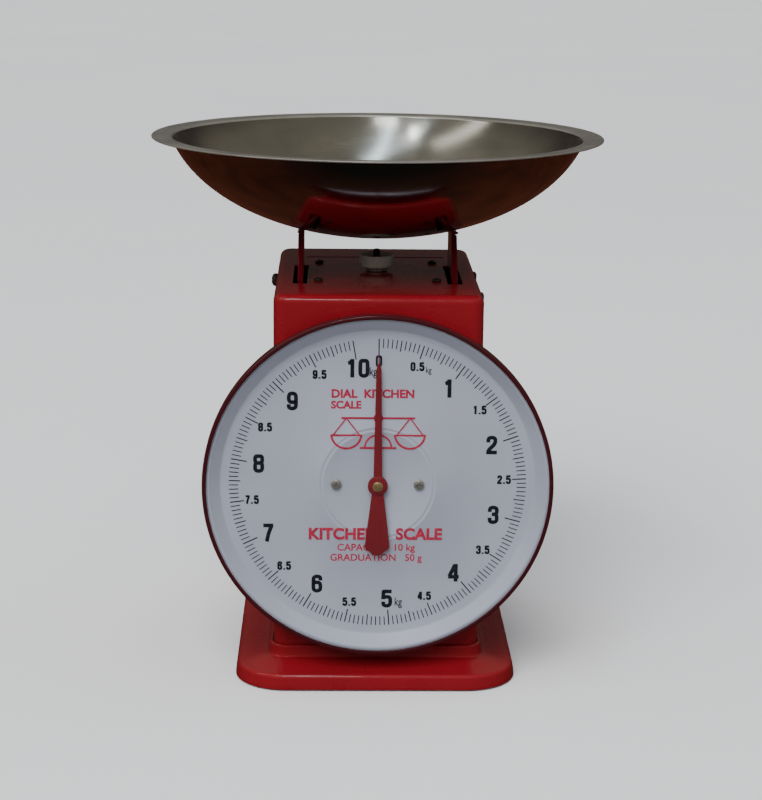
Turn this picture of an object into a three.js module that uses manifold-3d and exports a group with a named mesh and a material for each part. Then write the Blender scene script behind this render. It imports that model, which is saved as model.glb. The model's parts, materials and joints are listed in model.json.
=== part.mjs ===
// Dial kitchen scale, 10 kg: a red sheet-steel housing on a stepped base, a round dial on its front and a
// stainless bowl on two posts. Inside, the bowl's load stretches two springs. A pair of parallel links keeps
// the posts upright, and the upper link's long arm pushes a rack past the pinion that turns the pointer.
//
// Millimetres, +Z up, -Y is the front with the dial. The origin is on the ground under the bowl's centre.

import * as THREE from "three";
import { mergeVertices } from "three/addons/utils/BufferGeometryUtils.js";
import Module from "manifold-3d";

const wasm = await Module();
wasm.setup();

// ---------------------------------------------------------------- driving dimensions

const GAP = 0.3; // between pieces that touch
const HOLE_GAP = 0.4; // round a pin or screw in its hole

const HOUSING = { halfX: 63, halfY: 89, corner: 8, sheet: 1.2, bottom: 13, top: 240.5, topRound: 5 };
const LEDGE = 23.5; // how far the base stands out round the housing
const BASE = { halfX: HOUSING.halfX + LEDGE, halfY: HOUSING.halfY + LEDGE, corner: HOUSING.corner + LEDGE };
const FOOT = { x: 68, y: 94, radius: 8, plateBottom: 3.4, plate: 1 };

const DIAL_Z = 128; // height of the pointer's axis
const DIAL_FRONT = { face: 12, lens: 19.2, bezel: 21.6, radius: 105 }; // ahead of the housing
const DIAL_SCREW_X = 24.8;

const BOWL = { rim: 141, wall: 126.9, top: 326.5, bottom: 264.9, sheet: 0.8 };
const BOWL_CURVE = { across: 132.5, deep: 80.2, flat: 25 }; // half an ellipse, cut flat underneath

const TRAVEL = 8.4; // of the bowl, from 0 to 10 kg
const LINK = { arm: 60, long: 120, y: 60, upperZ: 178, lowerZ: 108, armX: 38, armThick: 3, halfHeight: 4 };
const LINK_TILT = Math.asin(TRAVEL / 2 / LINK.arm); // at rest the links slope up to the posts

const POST = { x: 45.8, thick: 3.4, front: -45, rear: 15, bottom: 96, neck: HOUSING.top + 2 };
const POST_TOP = { front: -26, rear: 14 }; // above the neck the strap narrows to this
const SADDLE = { halfX: 2, halfY: 34, thick: 2.5, endThick: 1.3 };
const SLOT_MARGIN = { x: 3, y: 3.5 };
const YOKE = { bottom: HOUSING.top - 24, thick: 5 };
const SPRING = { x: 25, radius: 6.2, wire: 0.9, turns: 12, bottom: 101.9, top: YOKE.bottom - 0.9 };

const MODULE = 0.5; // of the rack and pinion
const TEETH = 11;
const PITCH = Math.PI * MODULE;
const PINION_RADIUS = (MODULE * TEETH) / 2;
const BACKLASH = 0.14;
const RACK = { y: -60, halfThick: 1.5, addendum: 0.3, root: 0.6, width: 6, low: -27.5, teeth: 19 };

// ---------------------------------------------------------------- materials

const finish = (color, roughness, metalness) =>
  new THREE.MeshStandardMaterial({ color, roughness, metalness });

const RED_PAINT = finish(0x9c1016, 0.3, 0.1);
const DARK_RED_PAINT = finish(0x5a0a10, 0.35, 0.1);
const STAINLESS = finish(0xa8a49c, 0.2, 1);
const ZINC_STEEL = finish(0x9a9a92, 0.4, 1);
const DARK_STEEL = finish(0x4a4640, 0.45, 1);
const SPRING_STEEL = finish(0x70706c, 0.35, 1);
const BRASS = finish(0xb08d4a, 0.3, 1);
const WHITE_ENAMEL = finish(0xd6dae0, 0.35, 0);
const CREAM_PLASTIC = finish(0xb8b2a4, 0.5, 0);
const BLACK_RUBBER = finish(0x1a1a1a, 0.8, 0);
const CLEAR_ACRYLIC = finish(0xf4f8fa, 0.05, 0);

// ---------------------------------------------------------------- solids

// A geometry as a manifold-3d solid, with shared corners merged and empty triangles dropped.
function solidOf(geometry) {
  const bare = geometry.index ? geometry.toNonIndexed() : geometry.clone();
  bare.deleteAttribute("normal");
  bare.deleteAttribute("uv");
  const merged = mergeVertices(bare, 1e-4);
  const corners = merged.index.array;
  const kept = [];
  for (let i = 0; i < corners.length; i += 3) {
    const [a, b, c] = corners.slice(i, i + 3);
    if (a !== b && b !== c && c !== a) kept.push(a, b, c);
  }
  const vertProperties = merged.attributes.position.array;
  return new wasm.Manifold(new wasm.Mesh({ numProp: 3, vertProperties, triVerts: new Uint32Array(kept) }));
}

function geometryOf(solid) {
  const made = solid.getMesh();
  const geometry = new THREE.BufferGeometry();
  geometry.setAttribute("position", new THREE.BufferAttribute(made.vertProperties, 3));
  geometry.setIndex(new THREE.BufferAttribute(made.triVerts, 1));
  geometry.computeVertexNormals();
  return geometry;
}

const join = (...pieces) => geometryOf(pieces.map(solidOf).reduce((whole, piece) => whole.add(piece)));

const cut = (body, ...tools) =>
  geometryOf(tools.map(solidOf).reduce((whole, tool) => whole.subtract(tool), solidOf(body)));

// ---------------------------------------------------------------- shapes

// A box between two corners.
function block(low, high) {
  const size = high.map((value, i) => value - low[i]);
  const middle = high.map((value, i) => (value + low[i]) / 2);
  return new THREE.BoxGeometry(...size).translate(...middle);
}

// A round bar along one axis from start to end. centre holds its other two coordinates, in x, y, z order.
function bar(axis, radius, start, end, centre = [0, 0], sides = 20) {
  const geometry = new THREE.CylinderGeometry(radius, radius, end - start, sides);
  const middle = (start + end) / 2;
  if (axis === "x") return geometry.rotateZ(-Math.PI / 2).translate(middle, ...centre);
  if (axis === "y") return geometry.translate(centre[0], middle, centre[1]);
  return geometry.rotateX(Math.PI / 2).translate(...centre, middle);
}

// A section of [radius, height] points, anticlockwise, turned round +Z.
function turned(section, sides) {
  const points = section.map(([radius, height]) => new THREE.Vector2(radius, height));
  return geometryOf(solidOf(new THREE.LatheGeometry(points, sides).rotateX(Math.PI / 2)));
}

// The same for a ring, whose section closes on itself.
const turnedRing = (section, sides) => turned([...section, section[0]], sides);

// A section of [inset, height] points, anticlockwise, carried round a rounded rectangle.
function framed(section, { halfX, halfY, corner }, steps = 6) {
  const positions = [];
  const centres = [[1, 1], [-1, 1], [-1, -1], [1, -1]];
  for (const [inset, height] of section) {
    centres.forEach(([sideX, sideY], quarter) => {
      for (let step = 0; step <= steps; step++) {
        const angle = ((quarter + step / steps) * Math.PI) / 2;
        const x = sideX * (halfX - corner) + (corner - inset) * Math.cos(angle);
        const y = sideY * (halfY - corner) + (corner - inset) * Math.sin(angle);
        positions.push(x, y, height);
      }
    });
  }
  const around = 4 * (steps + 1);
  const index = [];
  section.forEach((_, row) => {
    const next = (row + 1) % section.length;
    for (let i = 0; i < around; i++) {
      const j = (i + 1) % around;
      const [a, b, c, d] = [row * around + i, row * around + j, next * around + i, next * around + j];
      index.push(a, b, c, b, d, c);
    }
  });
  const geometry = new THREE.BufferGeometry();
  geometry.setAttribute("position", new THREE.Float32BufferAttribute(positions, 3));
  geometry.setIndex(index);
  return geometry;
}

function roundedRectangle(halfX, halfY, radius) {
  const shape = new THREE.Shape();
  shape.absarc(halfX - radius, halfY - radius, radius, 0, Math.PI / 2);
  shape.absarc(radius - halfX, halfY - radius, radius, Math.PI / 2, Math.PI);
  shape.absarc(radius - halfX, radius - halfY, radius, Math.PI, 1.5 * Math.PI);
  shape.absarc(halfX - radius, radius - halfY, radius, 1.5 * Math.PI, 2 * Math.PI);
  return shape;
}

// An outline in x, y drawn out between two heights.
function slab(shape, low, high, curveSegments = 3) {
  const options = { depth: high - low, bevelEnabled: false, curveSegments };
  return new THREE.ExtrudeGeometry(shape, options).translate(0, 0, low);
}

// The same with the outline in y, z, drawn out along x.
const slabAlongX = (shape, low, high) => slab(shape, low, high).rotateX(Math.PI / 2).rotateZ(Math.PI / 2);

// The same with the outline in x, z, drawn out along y.
const slabAlongY = (shape, low, high) => slab(shape, -high, -low).rotateX(Math.PI / 2);

const outline = (points) => new THREE.Shape(points.map(([x, y]) => new THREE.Vector2(x, y)));

// A pan-head screw along +Z, its head's underside at 0, with a cross recess.
function screw({ head, height, shank, length, sides = 12 }) {
  const dome = [[head, 0.4 * height], [0.7 * head, 0.9 * height], [0, height]];
  const body = turned([[0, -length], [shank, -length], [shank, 0], [head, 0], ...dome], sides);
  const slot = 0.14 * head;
  const reach = 0.55 * head;
  const low = 0.45 * height;
  const recess = [[reach, slot], [slot, reach]].map(([x, y]) => block([-x, -y, low], [x, y, height]));
  return cut(body, ...recess);
}

const part = new THREE.Group();

function add(group, name, geometry, material, position = [0, 0, 0], rotation = [0, 0, 0]) {
  const mesh = new THREE.Mesh(geometry, material);
  mesh.name = name;
  mesh.position.set(...position);
  mesh.rotation.set(...rotation);
  group.add(mesh);
}

const FOUR_CORNERS = [
  ["front_left", -1, -1],
  ["front_right", 1, -1],
  ["rear_left", -1, 1],
  ["rear_right", 1, 1],
];

// ---------------------------------------------------------------- base

function addBase() {
  const outside = [
    [0, 1], [0.3, 4], [1.4, 7.4], [3.2, 9.4], [5.6, 10.2], [17.4, 14.2], [19.8, 15.3], [21, 17], [21.2, 22],
  ];
  const inside = [
    [22.6, 22], [22.6, 15.9], [21, 14.2], [18.4, 13], [6, 8.8], [4.2, 7.9], [2.8, 6], [1.8, 3.8], [1.5, 1],
  ];
  const lugTop = 11;
  const lugs = FOUR_CORNERS.map(([, x, y]) => bar("z", 4.5, 5, lugTop, [x * FOOT.x, y * FOOT.y], 16));
  const lugHoles = FOUR_CORNERS.map(([, x, y]) => bar("z", 2.2, 4, lugTop - 1, [x * FOOT.x, y * FOOT.y], 12));
  add(part, "base_tray", cut(join(framed([...outside, ...inside], BASE), ...lugs), ...lugHoles), RED_PAINT);

  const inset = 2.9;
  const plateShape = roundedRectangle(BASE.halfX - inset, BASE.halfY - inset, BASE.corner - inset);
  const plateHoles = FOUR_CORNERS.map(([, x, y]) => bar("z", 2.3, 0, 9, [x * FOOT.x, y * FOOT.y], 12));
  const plate = slab(plateShape, FOOT.plateBottom, FOOT.plateBottom + FOOT.plate);
  add(part, "bottom_plate", cut(plate, ...plateHoles), ZINC_STEEL);

  const footTop = FOOT.plateBottom - GAP;
  const footSection = [
    [4.8, 0], [FOOT.radius, 0], [FOOT.radius + 0.6, footTop], [2.3, footTop], [2.3, 1.9], [4.8, 1.9],
  ];
  for (const [corner, x, y] of FOUR_CORNERS) {
    const place = [x * FOOT.x, y * FOOT.y, 0];
    add(part, `foot_${corner}`, turnedRing(footSection, 24), BLACK_RUBBER, place);
    const footScrew = screw({ head: 4.2, height: 1.2, shank: 1.9, length: 8 });
    add(part, `foot_screw_${corner}`, footScrew, ZINC_STEEL, [place[0], place[1], 1.6], [Math.PI, 0, 0]);
  }
}

// ---------------------------------------------------------------- housing

const CHASSIS_SCREW = { x: 36.5, front: -39, rear: 27 };
const CHASSIS_HOLES = FOUR_CORNERS.map(([, x, y]) => [
  x * CHASSIS_SCREW.x,
  y < 0 ? CHASSIS_SCREW.front : CHASSIS_SCREW.rear,
]);
const REAR_OPENING = { halfX: 46, low: 34, high: 211 };
const REAR_SCREW = { x: 51, low: 29, high: 216 };
const SIDE_SCREW_Z = HOUSING.top - 9;
const SIDE_SCREWS = [
  { name: "left", side: -1, y: 14, head: 4.2, height: 3.8 },
  { name: "right_front", side: 1, y: -42, head: 3.2, height: 2.6 },
  { name: "right_rear", side: 1, y: 30, head: 3.4, height: 2.8 },
];

// A tall rounded box whose top edge is rounded, from below the housing to a given height.
function roundedBox(inset, top) {
  const round = HOUSING.topRound - inset;
  const shape = roundedRectangle(HOUSING.halfX - inset, HOUSING.halfY - inset, HOUSING.corner - inset);
  const bevel = { bevelThickness: round, bevelSize: round, bevelOffset: -round, bevelSegments: 3 };
  const solid = new THREE.ExtrudeGeometry(shape, { depth: top - round, curveSegments: 3, ...bevel });
  return cut(solid, block([-200, -200, -50], [200, 200, HOUSING.bottom - inset]));
}

function addHousing() {
  const { halfX, halfY, sheet, top } = HOUSING;
  const rearMiddle = (REAR_OPENING.low + REAR_OPENING.high) / 2;
  const rearOpening = roundedRectangle(REAR_OPENING.halfX, REAR_OPENING.high - rearMiddle, 6);
  const tools = [
    roundedBox(sheet, top - sheet),
    slabAlongY(rearOpening, halfY - 6, halfY + 6).translate(0, 0, rearMiddle),
    bar("z", 5, top - 6, top + 6),
    bar("y", 6, -halfY - 6, -halfY + 6, [0, DIAL_Z]),
  ];
  for (const side of [-1, 1]) {
    const middle = side * (POST.x + POST.thick / 2);
    const halfWide = POST.thick / 2 + SLOT_MARGIN.x;
    const low = [middle - halfWide, POST.front - SLOT_MARGIN.y, top - 6];
    tools.push(block(low, [middle + halfWide, POST.rear + SLOT_MARGIN.y, top + 6]));
    tools.push(bar("y", 2.3, -halfY - 6, -halfY + 6, [side * DIAL_SCREW_X, DIAL_Z], 12));
    for (const z of [REAR_SCREW.low, REAR_SCREW.high]) {
      tools.push(bar("y", 1.9, halfY - 6, halfY + 6, [side * REAR_SCREW.x, z], 12));
    }
  }
  for (const [x, y] of CHASSIS_HOLES) tools.push(bar("z", 2.1, top - 6, top + 6, [x, y], 12));
  for (const { side, y } of SIDE_SCREWS) {
    tools.push(bar("x", 2.2, side * halfX - 6, side * halfX + 6, [y, SIDE_SCREW_Z], 12));
  }
  add(part, "housing_shell", cut(roundedBox(0, top), ...tools), RED_PAINT);

  for (const { name, side, y, head, height } of SIDE_SCREWS) {
    const geometry = screw({ head, height, shank: 1.8, length: 7 });
    const place = [side * (halfX + GAP), y, SIDE_SCREW_Z];
    add(part, `side_screw_${name}`, geometry, DARK_STEEL, place, [0, (side * Math.PI) / 2, 0]);
  }
}

function addRearCover() {
  const front = HOUSING.halfY + GAP;
  const middle = (REAR_SCREW.low + REAR_SCREW.high) / 2;
  const halfZ = (REAR_SCREW.high - REAR_SCREW.low) / 2 + 6;
  const shape = roundedRectangle(REAR_SCREW.x + 6, halfZ, 6);
  const holes = FOUR_CORNERS.map(([, x, y]) => {
    const z = y < 0 ? REAR_SCREW.low : REAR_SCREW.high;
    return bar("y", 1.9, front - 3, front + 6, [x * REAR_SCREW.x, z], 12);
  });
  const panel = slabAlongY(shape, front, front + HOUSING.sheet).translate(0, 0, middle);
  add(part, "rear_cover", cut(panel, ...holes), RED_PAINT);
  for (const [corner, x, y] of FOUR_CORNERS) {
    const z = y < 0 ? REAR_SCREW.low : REAR_SCREW.high;
    const name = corner.replace("front", "low").replace("rear", "high");
    const place = [x * REAR_SCREW.x, front + HOUSING.sheet + GAP, z];
    const geometry = screw({ head: 3.2, height: 2, shank: 1.5, length: 7 });
    add(part, `rear_screw_${name}`, geometry, ZINC_STEEL, place, [-Math.PI / 2, 0, 0]);
  }
}

// ---------------------------------------------------------------- fixed chassis and zero adjuster

const CHASSIS = { top: HOUSING.top - 1.5, sheet: 2, plateX: 41.5, frontY: -45, rearY: 70 };
const CHASSIS_LEG = { frontY: 50, bottom: 98 };

function addChassis() {
  const { top, sheet, plateX, frontY, rearY } = CHASSIS;
  const { frontY: legFrontY, bottom } = CHASSIS_LEG;
  const outer = plateX + sheet;
  const tools = [bar("z", 5, top - 9, top + 9)];
  for (const [x, y] of CHASSIS_HOLES) tools.push(bar("z", 2.1, top - 9, top + 9, [x, y], 12));
  for (const z of [LINK.upperZ, LINK.lowerZ]) tools.push(bar("x", 2.4, -60, 60, [LINK.y, z], 16));
  const bracket = join(
    block([-outer, frontY, top - sheet], [outer, rearY, top]),
    block([-outer, legFrontY, bottom], [-plateX, rearY, top]),
    block([plateX, legFrontY, bottom], [outer, rearY, top]),
    block([-outer, rearY - sheet, bottom], [outer, rearY, top]),
  );
  add(part, "chassis_bracket", cut(bracket, ...tools), ZINC_STEEL);
  FOUR_CORNERS.forEach(([corner], i) => {
    const geometry = screw({ head: 2.9, height: 1.8, shank: 1.7, length: 7 });
    add(part, `chassis_screw_${corner}`, geometry, DARK_STEEL, [...CHASSIS_HOLES[i], HOUSING.top + GAP]);
  });
  for (const [name, z] of [["upper", LINK.upperZ], ["lower", LINK.lowerZ]]) {
    add(part, `${name}_pivot_rod`, bar("x", 2, -outer - 2, outer + 2, [LINK.y, z], 16), ZINC_STEEL);
  }
}

const ZERO = { rod: 2.5, tip: HOUSING.top + 14, bushTop: HOUSING.top + 2.2, knobTop: HOUSING.top + 10.4 };
const KNOB = { radius: 11.2, gripDepth: 0.4, grips: 20, recess: 2.4, rim: 1.3 };

function addZeroAdjuster() {
  const { rod, tip, bushTop, knobTop } = ZERO;
  const bore = rod + HOLE_GAP;
  const bushLow = HOUSING.top + GAP;
  const bushEnd = CHASSIS.top - 5;
  const bush = [[bore, bushEnd], [4.5, bushEnd], [4.5, bushLow], [7, bushLow], [7, bushTop], [bore, bushTop]];
  add(part, "zero_bush", turnedRing(bush, 24), ZINC_STEEL);

  const knobLow = bushTop + GAP;
  const grip = Array.from({ length: 2 * KNOB.grips }, (_, i) => {
    const radius = KNOB.radius - (i % 2) * KNOB.gripDepth;
    const angle = (i * Math.PI) / KNOB.grips;
    return [radius * Math.cos(angle), radius * Math.sin(angle)];
  });
  const recess = bar("z", KNOB.radius - KNOB.rim, knobTop - KNOB.recess, knobTop + 1, [0, 0], 2 * KNOB.grips);
  const knob = cut(slab(outline(grip), knobLow, knobTop), bar("z", bore, 0, 300), recess);
  add(part, "zero_knob", knob, CREAM_PLASTIC);

  const headTop = YOKE.bottom - GAP;
  const head = [[0, headTop - 4], [5, headTop - 4], [5, headTop], [rod, headTop]];
  add(part, "zero_rod", turned([...head, [rod, tip - 0.8], [rod - 0.8, tip], [0, tip]], 20), DARK_STEEL);
  const yoke = block([-34, -6, YOKE.bottom], [34, 6, YOKE.bottom + YOKE.thick]);
  add(part, "spring_yoke", cut(yoke, bar("z", bore, 0, 300)), ZINC_STEEL);
}

class Helix extends THREE.Curve {
  getPoint(t) {
    const { radius, turns, bottom, top, wire } = SPRING;
    const angle = t * turns * 2 * Math.PI;
    const height = bottom + wire + t * (top - bottom - 2 * wire);
    return new THREE.Vector3(radius * Math.cos(angle), radius * Math.sin(angle), height);
  }
}

function addSprings() {
  const ring = new THREE.Shape().absarc(0, 0, SPRING.wire, 0, 2 * Math.PI);
  const options = { steps: SPRING.turns * 8, curveSegments: 3, extrudePath: new Helix() };
  for (const [side, x] of [["left", -SPRING.x], ["right", SPRING.x]]) {
    add(part, `main_spring_${side}`, new THREE.ExtrudeGeometry(ring, options), SPRING_STEEL, [x, 0, 0]);
  }
}

// ---------------------------------------------------------------- load carrier and links

// The bowl's outer surface above its flat bottom, at a distance from its axis.
function bowlRise(radius) {
  const { across, deep, flat } = BOWL_CURVE;
  const below = (distance) => deep * Math.sqrt(1 - (distance / across) ** 2);
  return below(flat) - below(Math.max(radius, flat));
}

function addLoadCarrier() {
  const { x, thick, front, rear, bottom, neck } = POST;
  const middle = x + thick / 2;
  const steps = 12;
  const between = (start, end) =>
    Array.from({ length: steps + 1 }, (_, i) => start + ((end - start) * i) / steps);
  const saddleTop = (y) => BOWL.bottom + bowlRise(Math.hypot(middle - SADDLE.halfX, y)) - GAP;
  const saddleThick = (y) => SADDLE.thick + (SADDLE.endThick - SADDLE.thick) * (y / SADDLE.halfY) ** 2;
  const saddleUnder = (y) => saddleTop(y) - saddleThick(y);
  const upper = between(SADDLE.halfY, -SADDLE.halfY).map((y) => [y, saddleTop(y)]);
  const lower = between(-SADDLE.halfY, SADDLE.halfY).map((y) => [y, saddleUnder(y)]);
  const strapTop = between(POST_TOP.rear, POST_TOP.front).map((y) => [y, saddleUnder(y) - GAP]);
  const strapSide = [[front, bottom], [rear, bottom], [rear, neck], ...strapTop, [front, neck]];
  for (const [name, side] of [["left", -1], ["right", 1]]) {
    const strip = slabAlongX(outline([...lower, ...upper]), -SADDLE.halfX, SADDLE.halfX);
    add(part, `pan_saddle_${name}`, strip, DARK_RED_PAINT, [side * middle, 0, 0]);
    const inner = side * x;
    const walls = [inner, inner + side * thick].sort((a, b) => a - b);
    const strap = slabAlongX(outline(strapSide), ...walls);
    const pinEnd = side * (LINK.armX - 1);
    const pins = [LINK.upperZ, LINK.lowerZ].map((z) => {
      const reach = [pinEnd, inner + side].sort((a, b) => a - b);
      return bar("x", 2, ...reach, [0, z + TRAVEL / 2], 16);
    });
    add(part, `load_post_${name}`, join(strap, ...pins), DARK_RED_PAINT);
  }
  const barEnd = x - GAP;
  add(part, "load_crossbar", block([-barEnd, -8, bottom + 1], [barEnd, 8, bottom + 5]), ZINC_STEEL);
}

// A link in its own frame: pivot at the origin, arms towards -Y.
function linkFrame(reach) {
  const { armX, armThick, halfHeight } = LINK;
  const outer = armX + armThick;
  return [
    block([-outer, -reach, -halfHeight], [-armX, 5, halfHeight]),
    block([armX, -reach, -halfHeight], [outer, 5, halfHeight]),
    block([-outer, -14, -halfHeight], [outer, -10, halfHeight]),
  ];
}

const TONGUE = { left: -3.2, right: 2.6 };

function addLinks() {
  const { arm, long, y, upperZ, lowerZ, halfHeight, armX, armThick } = LINK;
  const outer = armX + armThick;
  const pivotHole = bar("x", 2.4, -60, 60, [0, 0], 16);
  const postHole = bar("x", 2.5, -60, 60, [-arm, 0], 16);
  const webY = 80;
  const upper = join(
    ...linkFrame(webY + 4),
    block([-outer, -webY - 4, -halfHeight], [outer, -webY, halfHeight]),
    block([TONGUE.left, -long - 5, -halfHeight], [TONGUE.right, -webY, halfHeight]),
  );
  const tilt = [-LINK_TILT, 0, 0];
  const rackPinHole = bar("x", 1.4, -10, 10, [-long, 0], 12);
  add(part, "upper_link", cut(upper, pivotHole, postHole, rackPinHole), ZINC_STEEL, [0, y, upperZ], tilt);
  const lower = cut(join(...linkFrame(arm + 6)), pivotHole, postHole);
  add(part, "lower_link", lower, ZINC_STEEL, [0, y, lowerZ], tilt);

  const rackEnd = PINION_RADIUS + RACK.root + RACK.width + GAP;
  const left = TONGUE.left - GAP;
  const leftHead = [[0, left - 1], [2, left - 1], [2, left], [1, left]];
  const rightHead = [[1, rackEnd], [2, rackEnd], [2, rackEnd + 1], [0, rackEnd + 1]];
  const pin = [...leftHead, ...rightHead];
  const pinY = y - long * Math.cos(LINK_TILT);
  const pinZ = upperZ + long * Math.sin(LINK_TILT);
  add(part, "rack_pin", turned(pin, 12), ZINC_STEEL, [0, pinY, pinZ], [0, Math.PI / 2, 0]);
}

// ---------------------------------------------------------------- dial: local x right, y up, z to the front

const dial = new THREE.Group();
dial.position.set(0, -HOUSING.halfY - GAP, DIAL_Z);
dial.rotation.x = Math.PI / 2;
part.add(dial);

const DIAL_SIDES = 56;

function addDialCase() {
  const holes = [-1, 1].map((side) => bar("z", 2.3, -20, 30, [side * DIAL_SCREW_X, 0], 12));
  const caseSection = [
    [10, 0], [84, 0], [90, 2.2], [97.5, 9], [101.6, 15.5], [102.6, 17.8],
    [101.2, 17.8], [100.5, 16], [96.4, 10], [89.2, 3.6], [83.6, 1.2], [10, 1.2],
  ];
  add(dial, "dial_case", cut(turnedRing(caseSection, DIAL_SIDES), ...holes), RED_PAINT);

  const { face, lens, bezel, radius } = DIAL_FRONT;
  const back = face - 0.8;
  const plateSection = [
    [3.5, back], [33, back], [33.8, back + 0.4], [35.4, back + 0.4], [36.2, back], [92, back], [94.2, face],
    [99.8, face + 5.7], [100.9, face + 6.1], [103.3, face + 6.1], [103.3, face + 6.9], [99.5, face + 6.8],
    [93.6, face + 0.9],
    [91.6, face], [36.2, face], [35.4, face + 0.4], [33.8, face + 0.4], [33, face], [3.5, face],
  ];
  add(dial, "dial_plate", cut(turnedRing(plateSection, DIAL_SIDES), ...holes), WHITE_ENAMEL);
  const lensSection = [[0, lens], [103.3, lens], [103.3, lens + 1.1], [0, lens + 1.1]];
  add(dial, "dial_lens", turned(lensSection, DIAL_SIDES), CLEAR_ACRYLIC);
  const flange = bezel - 0.9;
  const bezelSection = [
    [radius - 1.2, 13], [radius, 13], [radius, bezel - 0.5], [radius - 0.5, bezel], [radius - 2.6, bezel],
    [radius - 2.6, flange], [radius - 1.2, flange],
  ];
  add(dial, "bezel_ring", turnedRing(bezelSection, DIAL_SIDES), DARK_RED_PAINT);

  for (const [name, side] of [["left", -1], ["right", 1]]) {
    const place = [side * DIAL_SCREW_X, 0, face + GAP];
    const dialScrew = screw({ head: 3.3, height: 2.2, shank: 1.9, length: 18 });
    add(dial, `dial_screw_${name}`, dialScrew, ZINC_STEEL, place);
    const spacer = turnedRing([[2.3, 1.5], [4, 1.5], [4, back - GAP], [2.3, back - GAP]], 16);
    add(dial, `dial_spacer_${name}`, spacer, ZINC_STEEL, [side * DIAL_SCREW_X, 0, 0]);
  }
}

const POINTER = { low: 15.2, high: 16.4, hub: 6, tip: 80, shoulder: 73.5 };
const POINTER_TAIL = { end: 43.5, corner: 37.5, halfWide: 7.6 };

function addPointer() {
  const { low, high, hub, tip, shoulder } = POINTER;
  const { end, corner, halfWide } = POINTER_TAIL;
  const rightTail = [[0, -end], [0.55 * halfWide, -0.95 * end], [halfWide, -corner], [3.6, -4.5]];
  const rightSide = [...rightTail, [2.6, 4.5], [1.6, shoulder], [0.5, shoulder + 2]];
  const leftSide = rightSide.slice(1).reverse().map(([x, y]) => [-x, y]);
  const blade = slab(outline([...rightSide, [0, tip], ...leftSide]), low, high);
  const bore = bar("z", 1.9, 0, 30, [0, 0], 12);
  add(dial, "pointer", cut(join(blade, bar("z", hub, low - 0.6, high + 0.6, [0, 0], 32)), bore), RED_PAINT);

  const nutLow = high + 0.6 + GAP;
  const inside = [[0, nutLow + 1.1], [1.9, nutLow + 1.1], [1.9, nutLow]];
  const outside = [[3, nutLow], [3, nutLow + 0.7], [2, nutLow + 1.4], [0, nutLow + 1.5]];
  add(dial, "pointer_nut", turned([...inside, ...outside], 16), BRASS);
}

// The pinion's outline: involute flanks on a radial root, one tooth pointing to +x.
function pinionOutline() {
  const pressure = THREE.MathUtils.degToRad(20);
  const baseRadius = PINION_RADIUS * Math.cos(pressure);
  const involute = (angle) => Math.tan(angle) - angle;
  const halfAngle = (radius) => {
    const local = Math.acos(Math.min(1, baseRadius / radius));
    return (PITCH - BACKLASH) / 4 / PINION_RADIUS + involute(pressure) - involute(local);
  };
  const flank = [-0.55, 0, 0.25, 0.42].map((step) => PINION_RADIUS + step);
  flank.splice(1, 0, baseRadius);
  const points = [];
  for (let tooth = 0; tooth < TEETH; tooth++) {
    const middle = (tooth * 2 * Math.PI) / TEETH;
    const sideOf = (sign) => flank.map((radius) => {
      const angle = middle + sign * halfAngle(Math.max(radius, baseRadius));
      return [radius * Math.cos(angle), radius * Math.sin(angle)];
    });
    points.push(...sideOf(-1), ...sideOf(1).reverse());
  }
  return outline(points);
}

const ARBOR = { radius: 1.5, back: -42.3, front: 17.9 };
const RACK_PLANE = -(RACK.y + HOUSING.halfY + GAP); // behind the dial group's origin
const PINION_HALF = 4;

function addMovement() {
  const { radius, back, front } = ARBOR;
  const leaves = slab(pinionOutline(), RACK_PLANE - PINION_HALF, RACK_PLANE + PINION_HALF);
  add(dial, "pinion_arbor", join(leaves, bar("z", radius, back, front, [0, 0], 16)), BRASS);

  const holes = [bar("z", radius + HOLE_GAP, -60, 10, [0, 0], 16)];
  for (const side of [-1, 1]) holes.push(bar("z", 2.3, -60, 10, [side * DIAL_SCREW_X, 0], 12));
  const shape = roundedRectangle(31, 28, 4);
  add(dial, "movement_front_plate", cut(slab(shape, -3.3, -1.8), ...holes), BRASS);
  add(dial, "movement_rear_plate", cut(slab(shape, -39.8, -38.3), holes[0]), BRASS);
  for (const [name, x, y] of [["upper", -23, 21], ["lower", 23, -21]]) {
    add(dial, `movement_pillar_${name}`, bar("z", 3, -38, -3.6, [x, y], 16), BRASS);
  }
  const guideX = PINION_RADIUS + RACK.root + RACK.width + HOLE_GAP + 2.5;
  add(dial, "rack_guide_pin", bar("z", 2.5, -38, -3.6, [guideX, 0], 16), ZINC_STEEL);
}

function addRack() {
  const { root, addendum, width, low, teeth, halfThick } = RACK;
  const slope = Math.tan(THREE.MathUtils.degToRad(20));
  const halfTooth = (PITCH - BACKLASH) / 4;
  const rootX = PINION_RADIUS + root;
  const tipX = PINION_RADIUS - addendum;
  const pinZ = LINK.upperZ - DIAL_Z + LINK.long * Math.sin(LINK_TILT);
  const top = pinZ + 4.5;
  const edge = [];
  for (let i = 0; i < teeth; i++) {
    const y = (i - 4 + 0.5) * PITCH;
    edge.push([rootX, y - halfTooth - root * slope], [tipX, y - halfTooth + addendum * slope]);
    edge.push([tipX, y + halfTooth - addendum * slope], [rootX, y + halfTooth + root * slope]);
  }
  const side = [[rootX, low], [rootX + width, low], [rootX + width, top], [rootX, top], ...edge.reverse()];
  const strip = slab(outline(side), RACK_PLANE - halfThick, RACK_PLANE + halfThick);
  const pinFront = -(LINK.y - LINK.long * Math.cos(LINK_TILT) + HOUSING.halfY + GAP);
  const eye = block([rootX, pinZ - 4.5, pinFront - 4.5], [rootX + width, top, pinFront + 4.5]);
  const eyeHole = bar("x", 1.5, 0, 20, [pinZ, pinFront], 12);
  add(dial, "rack", cut(join(strip, eye), eyeHole), ZINC_STEEL);
}

// ---------------------------------------------------------------- bowl

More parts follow.
